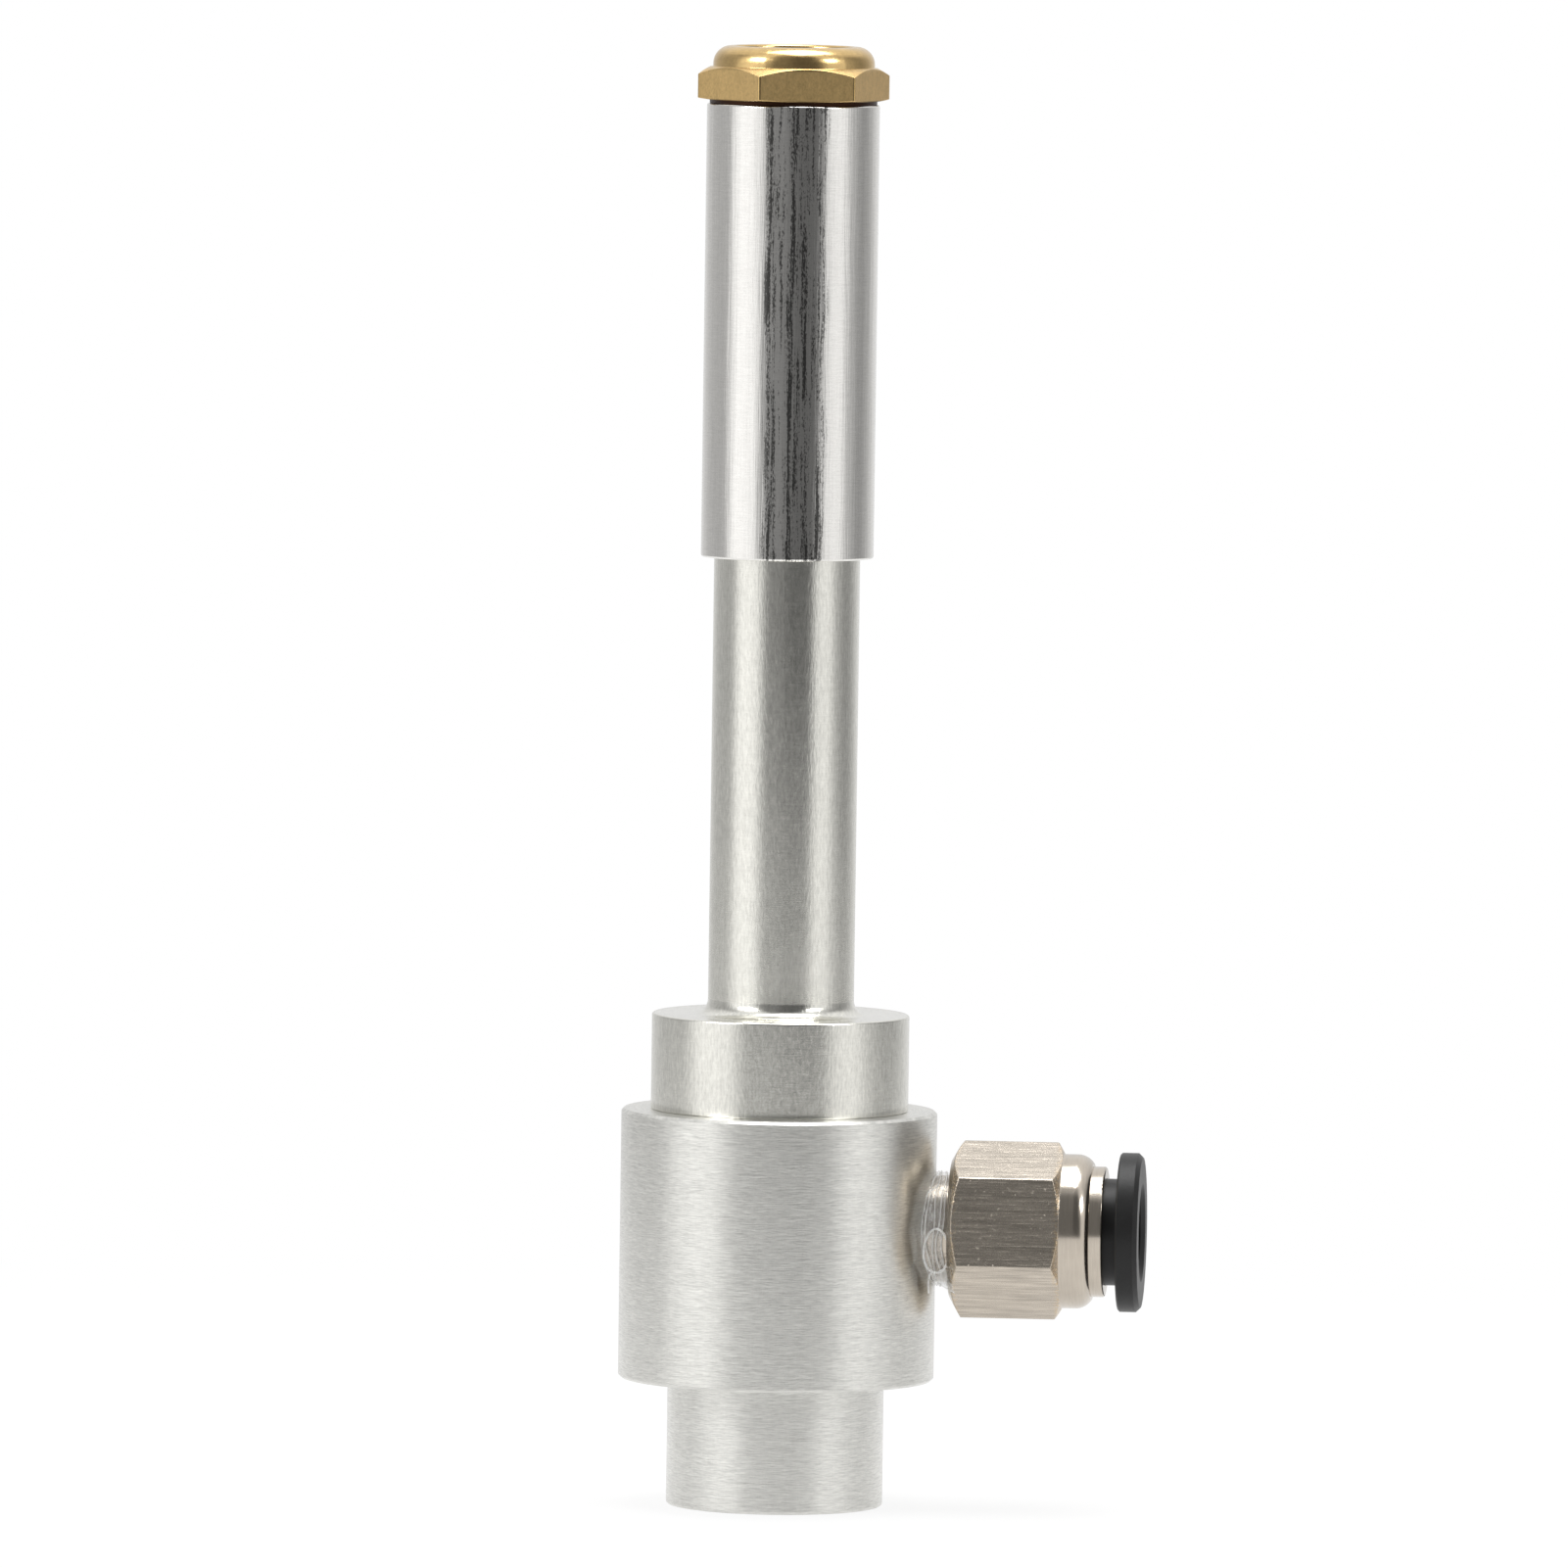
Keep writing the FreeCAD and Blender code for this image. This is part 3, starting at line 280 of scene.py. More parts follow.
# %% Turn the hot tube with its neck
NECK_EDGE = 0.22
ROOT_FILLET = 1.3
RING_SEAT_RADIUS = 5.95
RING_SEAT_DEPTH = 0.6
VALVE_BORE = 5.1
VALVE_POCKET = 13.5
screw_start = UPPER_SHOULDER + STOP_GAP
upper_recess = BODY_TOP - RECESS_DEPTH
ring_seat = TUBE_START + RING_SEAT_DEPTH
pocket_floor = TUBE_END - VALVE_POCKET
valve_seat = pocket_floor - (VALVE_BORE - TUBE_BORE)
male_radius = THREAD_RADIUS - THREAD_PLAY
tube_outline = rounded([
    (RING_SEAT_RADIUS, TUBE_START, FINE_EDGE), (NOSE_RADIUS, TUBE_START, EDGE),
    (NOSE_RADIUS, screw_start, FINE_EDGE), (SCREW_RADIUS, screw_start, EDGE),
    (SCREW_RADIUS, upper_recess, EDGE), (UNDERCUT_RADIUS, upper_recess, FINE_EDGE),
    (UNDERCUT_RADIUS, BODY_TOP, FINE_EDGE), (NECK_RADIUS, BODY_TOP, CREVICE),
    (NECK_RADIUS, NECK_TOP, NECK_EDGE), (TUBE_RADIUS, NECK_TOP, ROOT_FILLET),
    (TUBE_RADIUS, SLEEVE_BOTTOM, FINE_EDGE), (male_radius, SLEEVE_BOTTOM, FINE_EDGE),
    (male_radius, TUBE_END, EDGE), (VALVE_BORE, TUBE_END, EDGE), (VALVE_BORE, pocket_floor, FINE_EDGE),
    (TUBE_BORE, valve_seat, FINE_EDGE), (TUBE_BORE, ring_seat, FINE_EDGE),
    (RING_SEAT_RADIUS, ring_seat, FINE_EDGE),
], len(ROUND), steps=8)
tube = grid_piece("turned_tube", round_z(tube_outline, ROUND), "housing", ["hot_tube"])

# %% [markdown]
# The sleeve is a plain pipe over the tube's screwed end. A cylinder with a Bevel modifier would do, but
# the outline is only four corners, and its two outer ones are the bright lines round both ends.

# %% Turn the sleeve
SLEEVE_EDGE = 0.22
sleeve_outline = rounded([
    (THREAD_RADIUS, SLEEVE_BOTTOM, EDGE), (SLEEVE_RADIUS, SLEEVE_BOTTOM, SLEEVE_EDGE),
    (SLEEVE_RADIUS, SLEEVE_TOP, SLEEVE_EDGE), (THREAD_RADIUS, SLEEVE_TOP, EDGE),
], len(ROUND))
sleeve = grid_piece("polished_sleeve", round_z(sleeve_outline, ROUND), "housing",
                    ["hot_end_sleeve"])

# %% [markdown]
# ## The brass silencer
#
# One piece of hexagon bar: a thread, a thin turned face, the spanner hexagon with its upper corners
# turned down to 30 degrees and its lower ones by a little, and a rim rolled over the sintered disc. Where
# the cone of a bevel meets the flat faces it leaves the six curved edges that every nut has, and the grid
# gets them by letting the bevel's level follow the hexagon's radius.

# %% Turn and mill the silencer
SILENCER_FLATS = 15.2
SILENCER_TURN = 14
SILENCER_BORE = 4.6
SILENCER_FACE = 0.3
SILENCER_HEXAGON = 3.0
FACE_STEP = 0.04
BEVEL = 30
UNDER_BEVEL = 8
SILENCER_ROUNDING = 0.22
SILENCER_BOTTOM, DOME_TOP = span("silencer_body", 2)
HEX_BOTTOM = SLEEVE_TOP + SILENCER_FACE
HEX_TOP = HEX_BOTTOM + SILENCER_HEXAGON
DOME_RADIUS = 7.3
DOME_ROUND = 1.6
VENT_RADIUS = 5.2
SINTER_RADIUS = 6.2
SINTER_BOTTOM, SINTER_TOP = span("silencer_disc", 2)
top_slope = math.tan(math.radians(BEVEL))
under_slope = math.tan(math.radians(UNDER_BEVEL))
angles, corner = hexagon(SILENCER_FLATS, SILENCER_ROUNDING, SILENCER_TURN)
face = SILENCER_FLATS / 2 - FACE_STEP
silencer_outline = rounded([
    (SILENCER_BORE, SILENCER_BOTTOM, EDGE), (male_radius, SILENCER_BOTTOM, EDGE),
    (male_radius, SLEEVE_TOP, FINE_EDGE), (face, SLEEVE_TOP, FINE_EDGE), (face, HEX_BOTTOM, 0.03),
    (corner, HEX_BOTTOM + (corner - face) * under_slope, 0.1),
    (corner, HEX_TOP - (corner - face) * top_slope, 0.1), (face, HEX_TOP, 0.05),
    (DOME_RADIUS, HEX_TOP, 0.08), (DOME_RADIUS, DOME_TOP, DOME_ROUND), (VENT_RADIUS, DOME_TOP, 0.3),
    (VENT_RADIUS, SINTER_TOP, FINE_EDGE), (SINTER_RADIUS, SINTER_TOP, FINE_EDGE),
    (SINTER_RADIUS, SINTER_BOTTOM, FINE_EDGE), (SILENCER_BORE, SINTER_BOTTOM, FINE_EDGE),
], len(angles), steps=9)
silencer = grid_piece("brass_silencer", round_z(silencer_outline, angles), "housing",
                      ["silencer_body"])

# %% [markdown]
# ## The plated fitting
#
# The inlet's hexagon and barrel lie along X. The hexagon's ends are turned down to 30 degrees, and
# the barrel's front rolls in on one large arc to its face, where the guide ring sits. Inside, the hose
# stops on a step, and behind it lies a socket for a hexagon key.

# %% Turn and mill the fitting
FITTING_FLATS = 14.0
FITTING_TURN = 20.3
FITTING_ROUNDING = 0.3
STUB_END, BARREL_FRONT = span("fitting_body", 0)
STUB_RADIUS = 4.85
STUB_TAPER = 1 / 32
BACK_FACE = 6.3
BARREL_RADIUS = 6.975
BARREL_STRAIGHT = 1.15
BARREL_CORNER = 0.95
BARREL_ROUND = 1.84
BARREL_FACE = 6.2
MOUTH_RADIUS = 5.8
SOCKET_DEPTH = 3.2
HOSE_RADIUS = 4.1
KEY_DEPTH = 4.5
KEY_FLATS = 5.0
AIR_BORE = 2.4
STOP_DEPTH = 0.8
hose_stop = HEX_BACK + STOP_DEPTH
socket_end = hose_stop + SOCKET_DEPTH
key_end = hose_stop - KEY_DEPTH
stub_tip = STUB_RADIUS - (HEX_BACK - STUB_END) * STUB_TAPER
barrel_corner = HEX_FRONT + BARREL_STRAIGHT + BARREL_CORNER
angles, corner = hexagon(FITTING_FLATS, FITTING_ROUNDING, FITTING_TURN)
key = KEY_FLATS / 2 / np.cos(np.mod(angles, math.pi / 3) - math.pi / 6)
fitting_outline = rounded([
    (AIR_BORE, STUB_END, FINE_EDGE), (stub_tip, STUB_END, EDGE), (STUB_RADIUS, HEX_BACK, FINE_EDGE),
    (BACK_FACE, HEX_BACK, 0.1), (corner, HEX_BACK + (corner - BACK_FACE) * top_slope, 0.15),
    (corner, HEX_FRONT - (corner - BARREL_RADIUS) * top_slope, 0.15), (BARREL_RADIUS, HEX_FRONT, 0.08),
    (BARREL_RADIUS, barrel_corner, BARREL_ROUND), (BARREL_FACE, BARREL_FRONT, 0.1),
    (MOUTH_RADIUS, BARREL_FRONT, FINE_EDGE), (MOUTH_RADIUS, socket_end, FINE_EDGE),
    (HOSE_RADIUS, socket_end, FINE_EDGE), (HOSE_RADIUS, hose_stop, FINE_EDGE),
    (key, hose_stop, FINE_EDGE), (key, key_end, FINE_EDGE), (AIR_BORE, key_end, 0.02),
], len(angles), steps=8)
fitting = grid_piece("plated_fitting", round_x(fitting_outline, angles), "housing",
                     ["fitting_body"])

# %% [markdown]
# ## The thread-seal film
#
# Clear film is wound on the bare thread between the body and the hexagon. It is too thin for a solid
# to look right, so it is an open sheet: once and a half round the thread, drawn up in ridges along the
# winding, with its back edge following the round side of the body. A loop, two ends and a small flap
# hang loose. A cloth simulation could crumple it, but a few waves in the radius are enough here.

# %% Wind the film
FILM_RADIUS = 5.0
FILM_FRONT = 15.5
FILM_LAYER = 0.05
FILM_RIDGES = ((0.2, 0.5, 0.12), (0.5, 1.7, 0.2), (0.8, 4.0, 0.14))


def wound_film(rows=44, columns=420):
    """Sheet with a radius of 5 mm plus three ridges exp(-(distance / width)^2) and two small waves.

    It turns through 530 degrees, and each turn lies one layer above the last. Its rows run from the
    body's side, which lies at sqrt(R^2 - y^2), to just short of the hexagon. A ridge is given by its
    place across the sheet, the phase of its wandering and its height.
    """
    angle = np.linspace(math.radians(80), math.radians(80 + 530), columns)[None, :]
    share = np.linspace(0, 1, rows)[:, None]
    radius = FILM_RADIUS + FILM_LAYER * (1 + (angle - angle[0, 0]) / TAU)
    fold = np.zeros((rows, columns))
    for place, lean, height in FILM_RIDGES:
        ridge = place + 0.07 * np.sin(2 * angle + lean) + 0.03 * np.sin(5 * angle + 3 * lean)
        radius = radius + height * np.exp(-((share - ridge) / 0.07) ** 2)
        fold = fold + np.exp(-((share - ridge) / 0.022) ** 2)
    radius = radius + 0.03 * np.sin(9 * angle + 11 * share) + 0.02 * np.sin(17 * angle - 23 * share)
    back = np.sqrt(BODY_RADIUS ** 2 - (radius * np.cos(angle)) ** 2) + 0.04
    front = FILM_FRONT + 0.12 * np.sin(3 * angle + 1.0) + 0.06 * np.sin(7 * angle)
    distance = back + (front - back) * share
    return round_x(np.stack([radius, distance], -1), angle), fold


def folded(piece, amount):
    """Keep how sharply the film is folded at each point, from 0 to 1, for its finish."""
    piece.data.attributes.new("fold", "FLOAT", "POINT").data.foreach_set("value", np.ravel(amount))
    return piece


wrap_points, wrap_folds = wound_film()
film_wrap = grid_piece("film_wrap", wrap_points, "housing", ["thread_tape"], (False, False))
folded(film_wrap, wrap_folds)

# %% [markdown]
# The loose ends are narrow ribbons along short paths. A curve with a flat profile could carry them, but
# a grid gets the same map as the wound sheet, and so the same finish. A few listed points give each
# path, and cutting its corners three times makes it smooth.

# %% Let a loop, two ends and a flap hang loose
RIBBON_ROWS = 5
FLAP_FOLD = 0.35


def soften(points, times=3):
    """Cut the corners of a path: each run keeps its points at one and three quarters."""
    for _ in range(times):
        first = points[:-1] * 0.75 + points[1:] * 0.25
        second = points[:-1] * 0.25 + points[1:] * 0.75
        quarters = np.stack([first, second], 1).reshape(-1, 3)
        points = np.concatenate([points[:1], quarters, points[-1:]])
    return points


def ribbon(name, path, width, closed=False):
    """A narrow strip along a path, turned so that it faces the front: its side is tangent x front."""
    tangent = step_between(path, 0, closed)
    side = unit(np.cross(tangent, [0, -1, 0.1]))
    share = np.linspace(-0.5, 0.5, RIBBON_ROWS)[:, None, None]
    curl = np.array([0, -1, 0]) * 0.3 * width * (1 - 4 * share ** 2)
    piece = grid_piece(name, path + side * share * width + curl, "housing", (), (False, closed))
    return folded(piece, np.ones((RIBBON_ROWS, len(path))))


turn = np.arange(72) * TAU / 72
loop_path = np.stack([
    14.78 + 1.16 * np.cos(turn) + 0.1 * np.cos(2 * turn + 0.6), -5.4 + 0.12 * np.sin(turn),
    23.85 + 1.95 * np.sin(turn) + 0.12 * np.sin(2 * turn),
], -1)
film_loop = ribbon("film_loop", loop_path, 0.2, closed=True)
strand_path = soften(np.array([
    [13.74, -4.5, 28.5], [14.0, -4.6, 29.1], [14.5, -4.3, 29.3], [14.9, -3.9, 29.75],
]))
film_strand = ribbon("film_strand", strand_path, 0.12)
tail_path = soften(np.array([
    [14.19, -4.8, 19.9], [14.1, -4.9, 20.96], [14.28, -4.9, 21.75],
    [14.64, -4.8, 21.93], [14.77, -4.7, 21.22], [14.64, -4.7, 20.5],
]))
film_tail = ribbon("film_tail", tail_path, 0.16)


def hanging_flap(rows=12, columns=16):
    """A four-cornered sheet: its corners mixed by the shares both ways, plus one slow wave."""
    along = np.linspace(0, 1, columns)[None, :, None]
    down = np.linspace(0, 1, rows)[:, None, None]
    left = np.array([14.87, -4.75, 21.6]) * (1 - down) + np.array([15.05, -5.1, 20.8]) * down
    right = np.array([15.7, -5.0, 22.2]) * (1 - down) + np.array([16.66, -5.85, 20.0]) * down
    wave = 0.18 * np.sin(3 * along + 5 * down) + 0.4 * down * along * (1 - along)
    return left * (1 - along) + right * along + wave * np.array([0, -1, 0.2])


flap_points = hanging_flap()
film_flap = grid_piece("film_flap", flap_points, "housing", (), (False, False))
folded(film_flap, np.full(flap_points.shape[:2], FLAP_FOLD))

# %% [markdown]
# ## Shader maths as Python
#
# A material is a small sum over nodes. Written with nodes one by one it is hard to read, so a class
# wraps each output socket and lets Python's own + - * / add the Math nodes. Every other node comes
# from one method, which sets its settings first and then joins its sockets.

# %% Sockets that add up


class Signal:
    """An output socket that can stand in a Python sum."""

    def __init__(self, pad, socket):
        self.pad = pad
        self.socket = socket

    def __add__(self, other):
        return self.pad.maths("ADD", self, other)

    def __mul__(self, other):
        return self.pad.maths("MULTIPLY", self, other)

    def __sub__(self, other):
        return self.pad.maths("SUBTRACT", self, other)

    def __rsub__(self, other):
        return self.pad.maths("SUBTRACT", other, self)

    def __truediv__(self, other):
        return self.pad.maths("DIVIDE", self, other)

    __radd__ = __add__
    __rmul__ = __mul__

    def output(self, name):
        """Another output of the same node."""
        return Signal(self.pad, self.socket.node.outputs[name])


class Pad:
    """The node tree of one material or world."""

    def __init__(self, owner):
        self.name = owner.name
        self.tree = owner.node_tree
        self.tree.nodes.clear()

    def node(self, kind, settings=None, inputs=None, output=0):
        """Add a node: its settings first, then the values or links of its sockets."""
        made = self.tree.nodes.new(kind)
        for name, value in (settings or {}).items():
            setattr(made, name, value)
        for key, value in (inputs or {}).items():
            if isinstance(value, Signal):
                self.tree.links.new(value.socket, made.inputs[key])
            else:
                made.inputs[key].default_value = value
        return Signal(self, made.outputs[output] if made.outputs else None)

    def maths(self, operation, *values):
        """One Math node."""
        return self.node("ShaderNodeMath", {"operation": operation}, dict(enumerate(values)))

    def smooth(self, value, low, high):
        """0 below low, 1 above high, and an even S between them."""
        inputs = {"Value": value, "From Min": low, "From Max": high}
        return self.node("ShaderNodeMapRange", {"interpolation_type": "SMOOTHSTEP"}, inputs)

    def vector(self, x, y, z):
        """Three numbers as one vector."""
        return self.node("ShaderNodeCombineXYZ", None, {0: x, 1: y, 2: z})

    def noise(self, places, pitches, detail=2.0, roughness=0.5, shift=0.0):
        """Smooth noise about 0.5, with a pitch (bumps to the millimetre) for each of the three places."""
        across, upright, along = [place * pitch for place, pitch in zip(places, pitches)]
        if shift:
            along = along + shift
        vector = self.vector(across, upright, along)
        inputs = {"Vector": vector, "Scale": 1.0, "Detail": detail, "Roughness": roughness}
        return self.node("ShaderNodeTexNoise", None, inputs)

    def mix(self, share, first, second):
        """Two colours mixed."""
        return self.node("ShaderNodeMix", {"data_type": "RGBA"}, {0: share, 6: first, 7: second}, 2)

    def tinted(self, tint, level):
        """A colour times a level about 1."""
        return self.node("ShaderNodeVectorMath", {"operation": "SCALE"}, {0: tint, "Scale": level})

    def places(self):
        """x, y and z on the object, in millimetres."""
        where = self.node("ShaderNodeTexCoord").output("Object")
        split = self.node("ShaderNodeSeparateXYZ", None, {0: where})
        return [split.output(letter) * (1 / MM) for letter in "XYZ"]


def colour(red, green, blue):
    """A colour for a socket, opaque."""
    return (red, green, blue, 1)


def finish(name):
    """A new material with an empty node pad."""
    material = bpy.data.materials.new(name)
    material.use_nodes = True
    return material, Pad(material)


def close(pad, inputs):
    """The shader itself and the output, which end each material."""
    shader = pad.node("ShaderNodeBsdfPrincipled", None, inputs)
    pad.node("ShaderNodeOutputMaterial", None, {"Surface": shader})
    print(pad.name, "has", len(pad.tree.nodes), "nodes")


def bump(pad, height, distance=MM):
    """Tilt the normal by a height in units of the distance, one millimetre if not given."""
    return pad.node("ShaderNodeBump", None, {"Height": height, "Distance": distance, "Strength": 1.0})


# %% [markdown]
# ## Turned aluminium
#
# A lathe tool leaves rings so fine that they only show as a soft sideways grain. The rings follow the
# outline, so the pattern's coordinate is the height plus the distance from the axis: on a wall it runs
# up, on an end face it runs outwards. Round the axis the grain changes slowly, and the height is pushed
# up and down a little by a wider noise, so the lines waver and end. The anisotropy spreads each
# highlight across the rings, along the tube.

# %% The turned finish


def turned_metal(name, tint, roughness, grain, lines, weave=0.0, mottle=0.05, along_x=False, anisotropy=0.55,
                 smoother=None, formed=()):
    """Metal with rings round its axis.

    grain is the rings' height, lines their tint, weave the tint of short marks across them and mottle
    that of wide clouds. smoother is a change of roughness and the two levels between which it comes in,
    and each entry of formed the same for a zone that was cut with another tool.
    """
    material, pad = finish(name)
    x, y, z = pad.places()
    if along_x:
        across, upright, along = y, z - INLET_LEVEL, x
    else:
        across, upright, along = x, y, z
    radius = pad.maths("SQRT", across * across + upright * upright)
    waver = pad.noise((across, upright, along), (0.5, 0.5, 0.8)) * 0.3
    reach = along + radius + waver
    rings = pad.noise((across, upright, reach), (0.22, 0.22, 7.0), 3.0, 0.6)
    hairs = pad.noise((across, upright, reach), (0.9, 0.9, 13.0), 2.0, 0.7)
    clouds = pad.noise((across, upright, along), (0.3, 0.3, 0.2), 3.0, 0.6)
    marks = pad.noise((across, upright, along), (4.5, 4.5, 1.1), 3.0, 0.65, shift=7.0)
    height = (rings - 0.5) * (grain * 0.6) + (hairs - 0.5) * (grain * 0.6) + (marks - 0.5) * (weave * 0.025)
    level = 1 + (hairs - 0.5) * (lines * 1.3) + (rings - 0.5) * (lines * 0.5)
    level = level + (clouds - 0.5) * mottle + (marks - 0.5) * weave
    rough = roughness + (clouds - 0.5) * 0.06 + (hairs - 0.5) * 0.06
    if smoother:
        change, low, high = smoother
        rough = rough + pad.smooth(along, low, high) * change
    for change, low, high in formed:
        zone = pad.smooth(along, low - 0.1, low) * (1 - pad.smooth(along, high - 0.1, high + 0.1))
        rough = rough + zone * change
    close(pad, {
        "Base Color": pad.tinted(tint, level), "Metallic": 1.0, "Roughness": rough, "Anisotropic": anisotropy,
        "Anisotropic Rotation": 0.25, "Normal": bump(pad, height),
    })
    return material


FILLET_ZONE = (-0.14, NECK_TOP, NECK_TOP + ROOT_FILLET)
NECK_ZONE = (-0.07, 31.5, 44.5)
satin = turned_metal("satin_aluminium", (0.735, 0.73, 0.695), 0.30, 0.014, 0.7, 0.12, 0.03)
tube_finish = turned_metal("turned_aluminium", (0.80, 0.79, 0.735), 0.28, 0.004, 0.14, 0.6, 0.03,
                           smoother=(-0.09, 46.0, 86.0), formed=(FILLET_ZONE, NECK_ZONE))

# %% [markdown]
# ## Polished sleeve
#
# The sleeve was polished lengthwise, so its marks are long, thin and upright. They tilt the surface
# sideways by a degree or two, which breaks up the mirror image of the studio. The deepest marks are
# darkened only in three bands round the sleeve, one of them facing the camera, and in each band they
# crowd together in four clusters: this is painted dark reflection, the dark side of the room laid into
# the colour of the marks. A picture wrapped round the sleeve would show a seam, and noise that is read
# at the place itself has none.

# %% The polished finish
# Where the sleeve gets its painted dark reflection: the middle of the first band, near the camera's side, and
# the clusters in each band
DARK_REFLECTION_MIDDLE = 8.5
DARK_REFLECTION_CLUSTERS = (
    # degrees from the middle of the band, half width in degrees
    (-17.0, 4.0),
    (-3.0, 4.0),
    (6.0, 2.5),
    (17.0, 3.5),
)


def polished_metal(name, tint, roughness):
    """Metal with long upright marks that waver a little and tilt the surface, with painted dark reflection in
    bands.

    The angle from a band's middle repeats every 120 degrees, and a cluster is exp(-(distance / width)^2).
    """
    material, pad = finish(name)
    x, y, z = pad.places()
    waver = pad.noise((x, y, z), (0.3, 0.3, 0.14))
    side = (waver - 0.5) * 0.35
    bent = (x + side, y + side, z)
    streaks = pad.noise(bent, (1.3, 1.3, 0.045), 4.0, 0.65)
    threads = pad.noise(bent, (5.0, 5.0, 0.2), 3.0, 0.7)
    scars = pad.noise(bent, (2.6, 2.6, 0.09), 4.0, 0.7, shift=4.0)
    dust = pad.noise((x, y, z), (8.0, 8.0, 3.5), 2.0, 0.7)
    rings = pad.noise((x, y, z), (0.8, 0.8, 9.0), 2.0, 0.6)
    angle = pad.maths("ARCTAN2", x, 0 - y) * (180 / math.pi) + (waver - 0.5) * 7
    phase = pad.maths("WRAP", angle - DARK_REFLECTION_MIDDLE, 60.0, -60.0)
    band = 1 - pad.smooth(pad.maths("ABSOLUTE", phase), 17.5, 25.0)
    painted_clusters = 0.0
    for place, width in DARK_REFLECTION_CLUSTERS:
        away = (phase - place) / width
        painted_clusters = pad.maths("EXPONENT", 0 - away * away) + painted_clusters
    marks_and_painted_reflection = scars + (threads - 0.5) * 0.4 + (dust - 0.5) * 0.6 + painted_clusters * 0.12
    # painted dark reflection: the marks are darkened only inside the bands, one of which faces the camera
    dark = pad.smooth(marks_and_painted_reflection, 0.54, 0.68) * band
    height = (streaks - 0.5) * 0.03 + (threads - 0.5) * 0.007 + (rings - 0.5) * 0.004
    level = (1 + (threads - 0.5) * 0.2 + (dust - 0.5) * 0.2 + (rings - 0.5) * 0.25) * (1 - dark * 0.8)
    base = pad.tinted(tint, level)
    rough = roughness + (threads - 0.5) * 0.1
    close(pad, {"Base Color": base, "Metallic": 1.0, "Roughness": rough, "Normal": bump(pad, height)})
    return material


polished = polished_metal("polished_aluminium", (0.88, 0.865, 0.835), 0.14)

# %% [markdown]
# ## Brass
#
# Brass is a warm metal colour. The hexagon of the silencer was left as it was drawn, dull and speckled,
# and only its rim was turned bright. One finish serves both, with masks over the height: that keeps the
# silencer one piece, and the change lies exactly at the hexagon's top.

# %% The silencer's brass
BRIGHT_EDGE = 8.67


def drawn_brass(name, tint):
    """Dull speckled brass up to the top of the hexagon, smoother above it, with painted shade in the gap
    below it.

    The six upright edges are rubbed bright: they are all that lies beyond BRIGHT_EDGE from the axis.
    """
    material, pad = finish(name)
    x, y, z = pad.places()
    speckle = pad.noise((x, y, z), (5.0, 5.0, 3.5), 3.0, 0.7)
    grain = pad.noise((x, y, z), (1.6, 1.6, 0.7), 3.0, 0.6)
    rings = pad.noise((x, y, z), (0.4, 0.4, 8.0), 2.0, 0.6)
    turned = pad.smooth(z, HEX_TOP - 0.35, HEX_TOP + 0.05)
    # painted shade: the mask of the gap between the sleeve and the hexagon, where shade falls
    painted_gap_shade = 1 - pad.smooth(z, HEX_BOTTOM - 0.02, HEX_BOTTOM + 0.16)
    corner = pad.smooth(pad.maths("SQRT", x * x + y * y), BRIGHT_EDGE, BRIGHT_EDGE + 0.04)
    plain = 1 - turned
    level = 1 + (speckle - 0.5) * (0.25 + plain * 0.35) + (grain - 0.5) * 0.35 + (rings - 0.5) * turned * 0.3
    # painted shade: in the gap the colour is darkened and mixed towards near black
    base = pad.mix(painted_gap_shade * 0.95, pad.tinted(tint, level * (1 - painted_gap_shade * 0.72)), colour(0.04, 0.015, 0.01))
    rough = 0.19 + plain * (1 - corner) * 0.24 + (speckle - 0.5) * 0.08
    height = (speckle - 0.5) * (0.004 + plain * 0.012) + (rings - 0.5) * turned * 0.006
    close(pad, {"Base Color": base, "Metallic": 1.0, "Roughness": rough, "Normal": bump(pad, height)})
    return material


brass_finish = drawn_brass("drawn_brass", (0.72, 0.505, 0.225))
brass = turned_metal("brass", (0.74, 0.52, 0.23), 0.26, 0.004, 0.2, anisotropy=0.2)

# %% [markdown]
# ## Nickel plating
#
# The fitting is brass under nickel, which keeps a beige warmth. Its hexagon shows long drawing marks
# along the axis, its barrel was turned, and where the plating has worn thin along the hexagon's ends the
# brass shines through. The wear is a mix of two colours, driven by the distance from each end.

# %% The fitting's plating


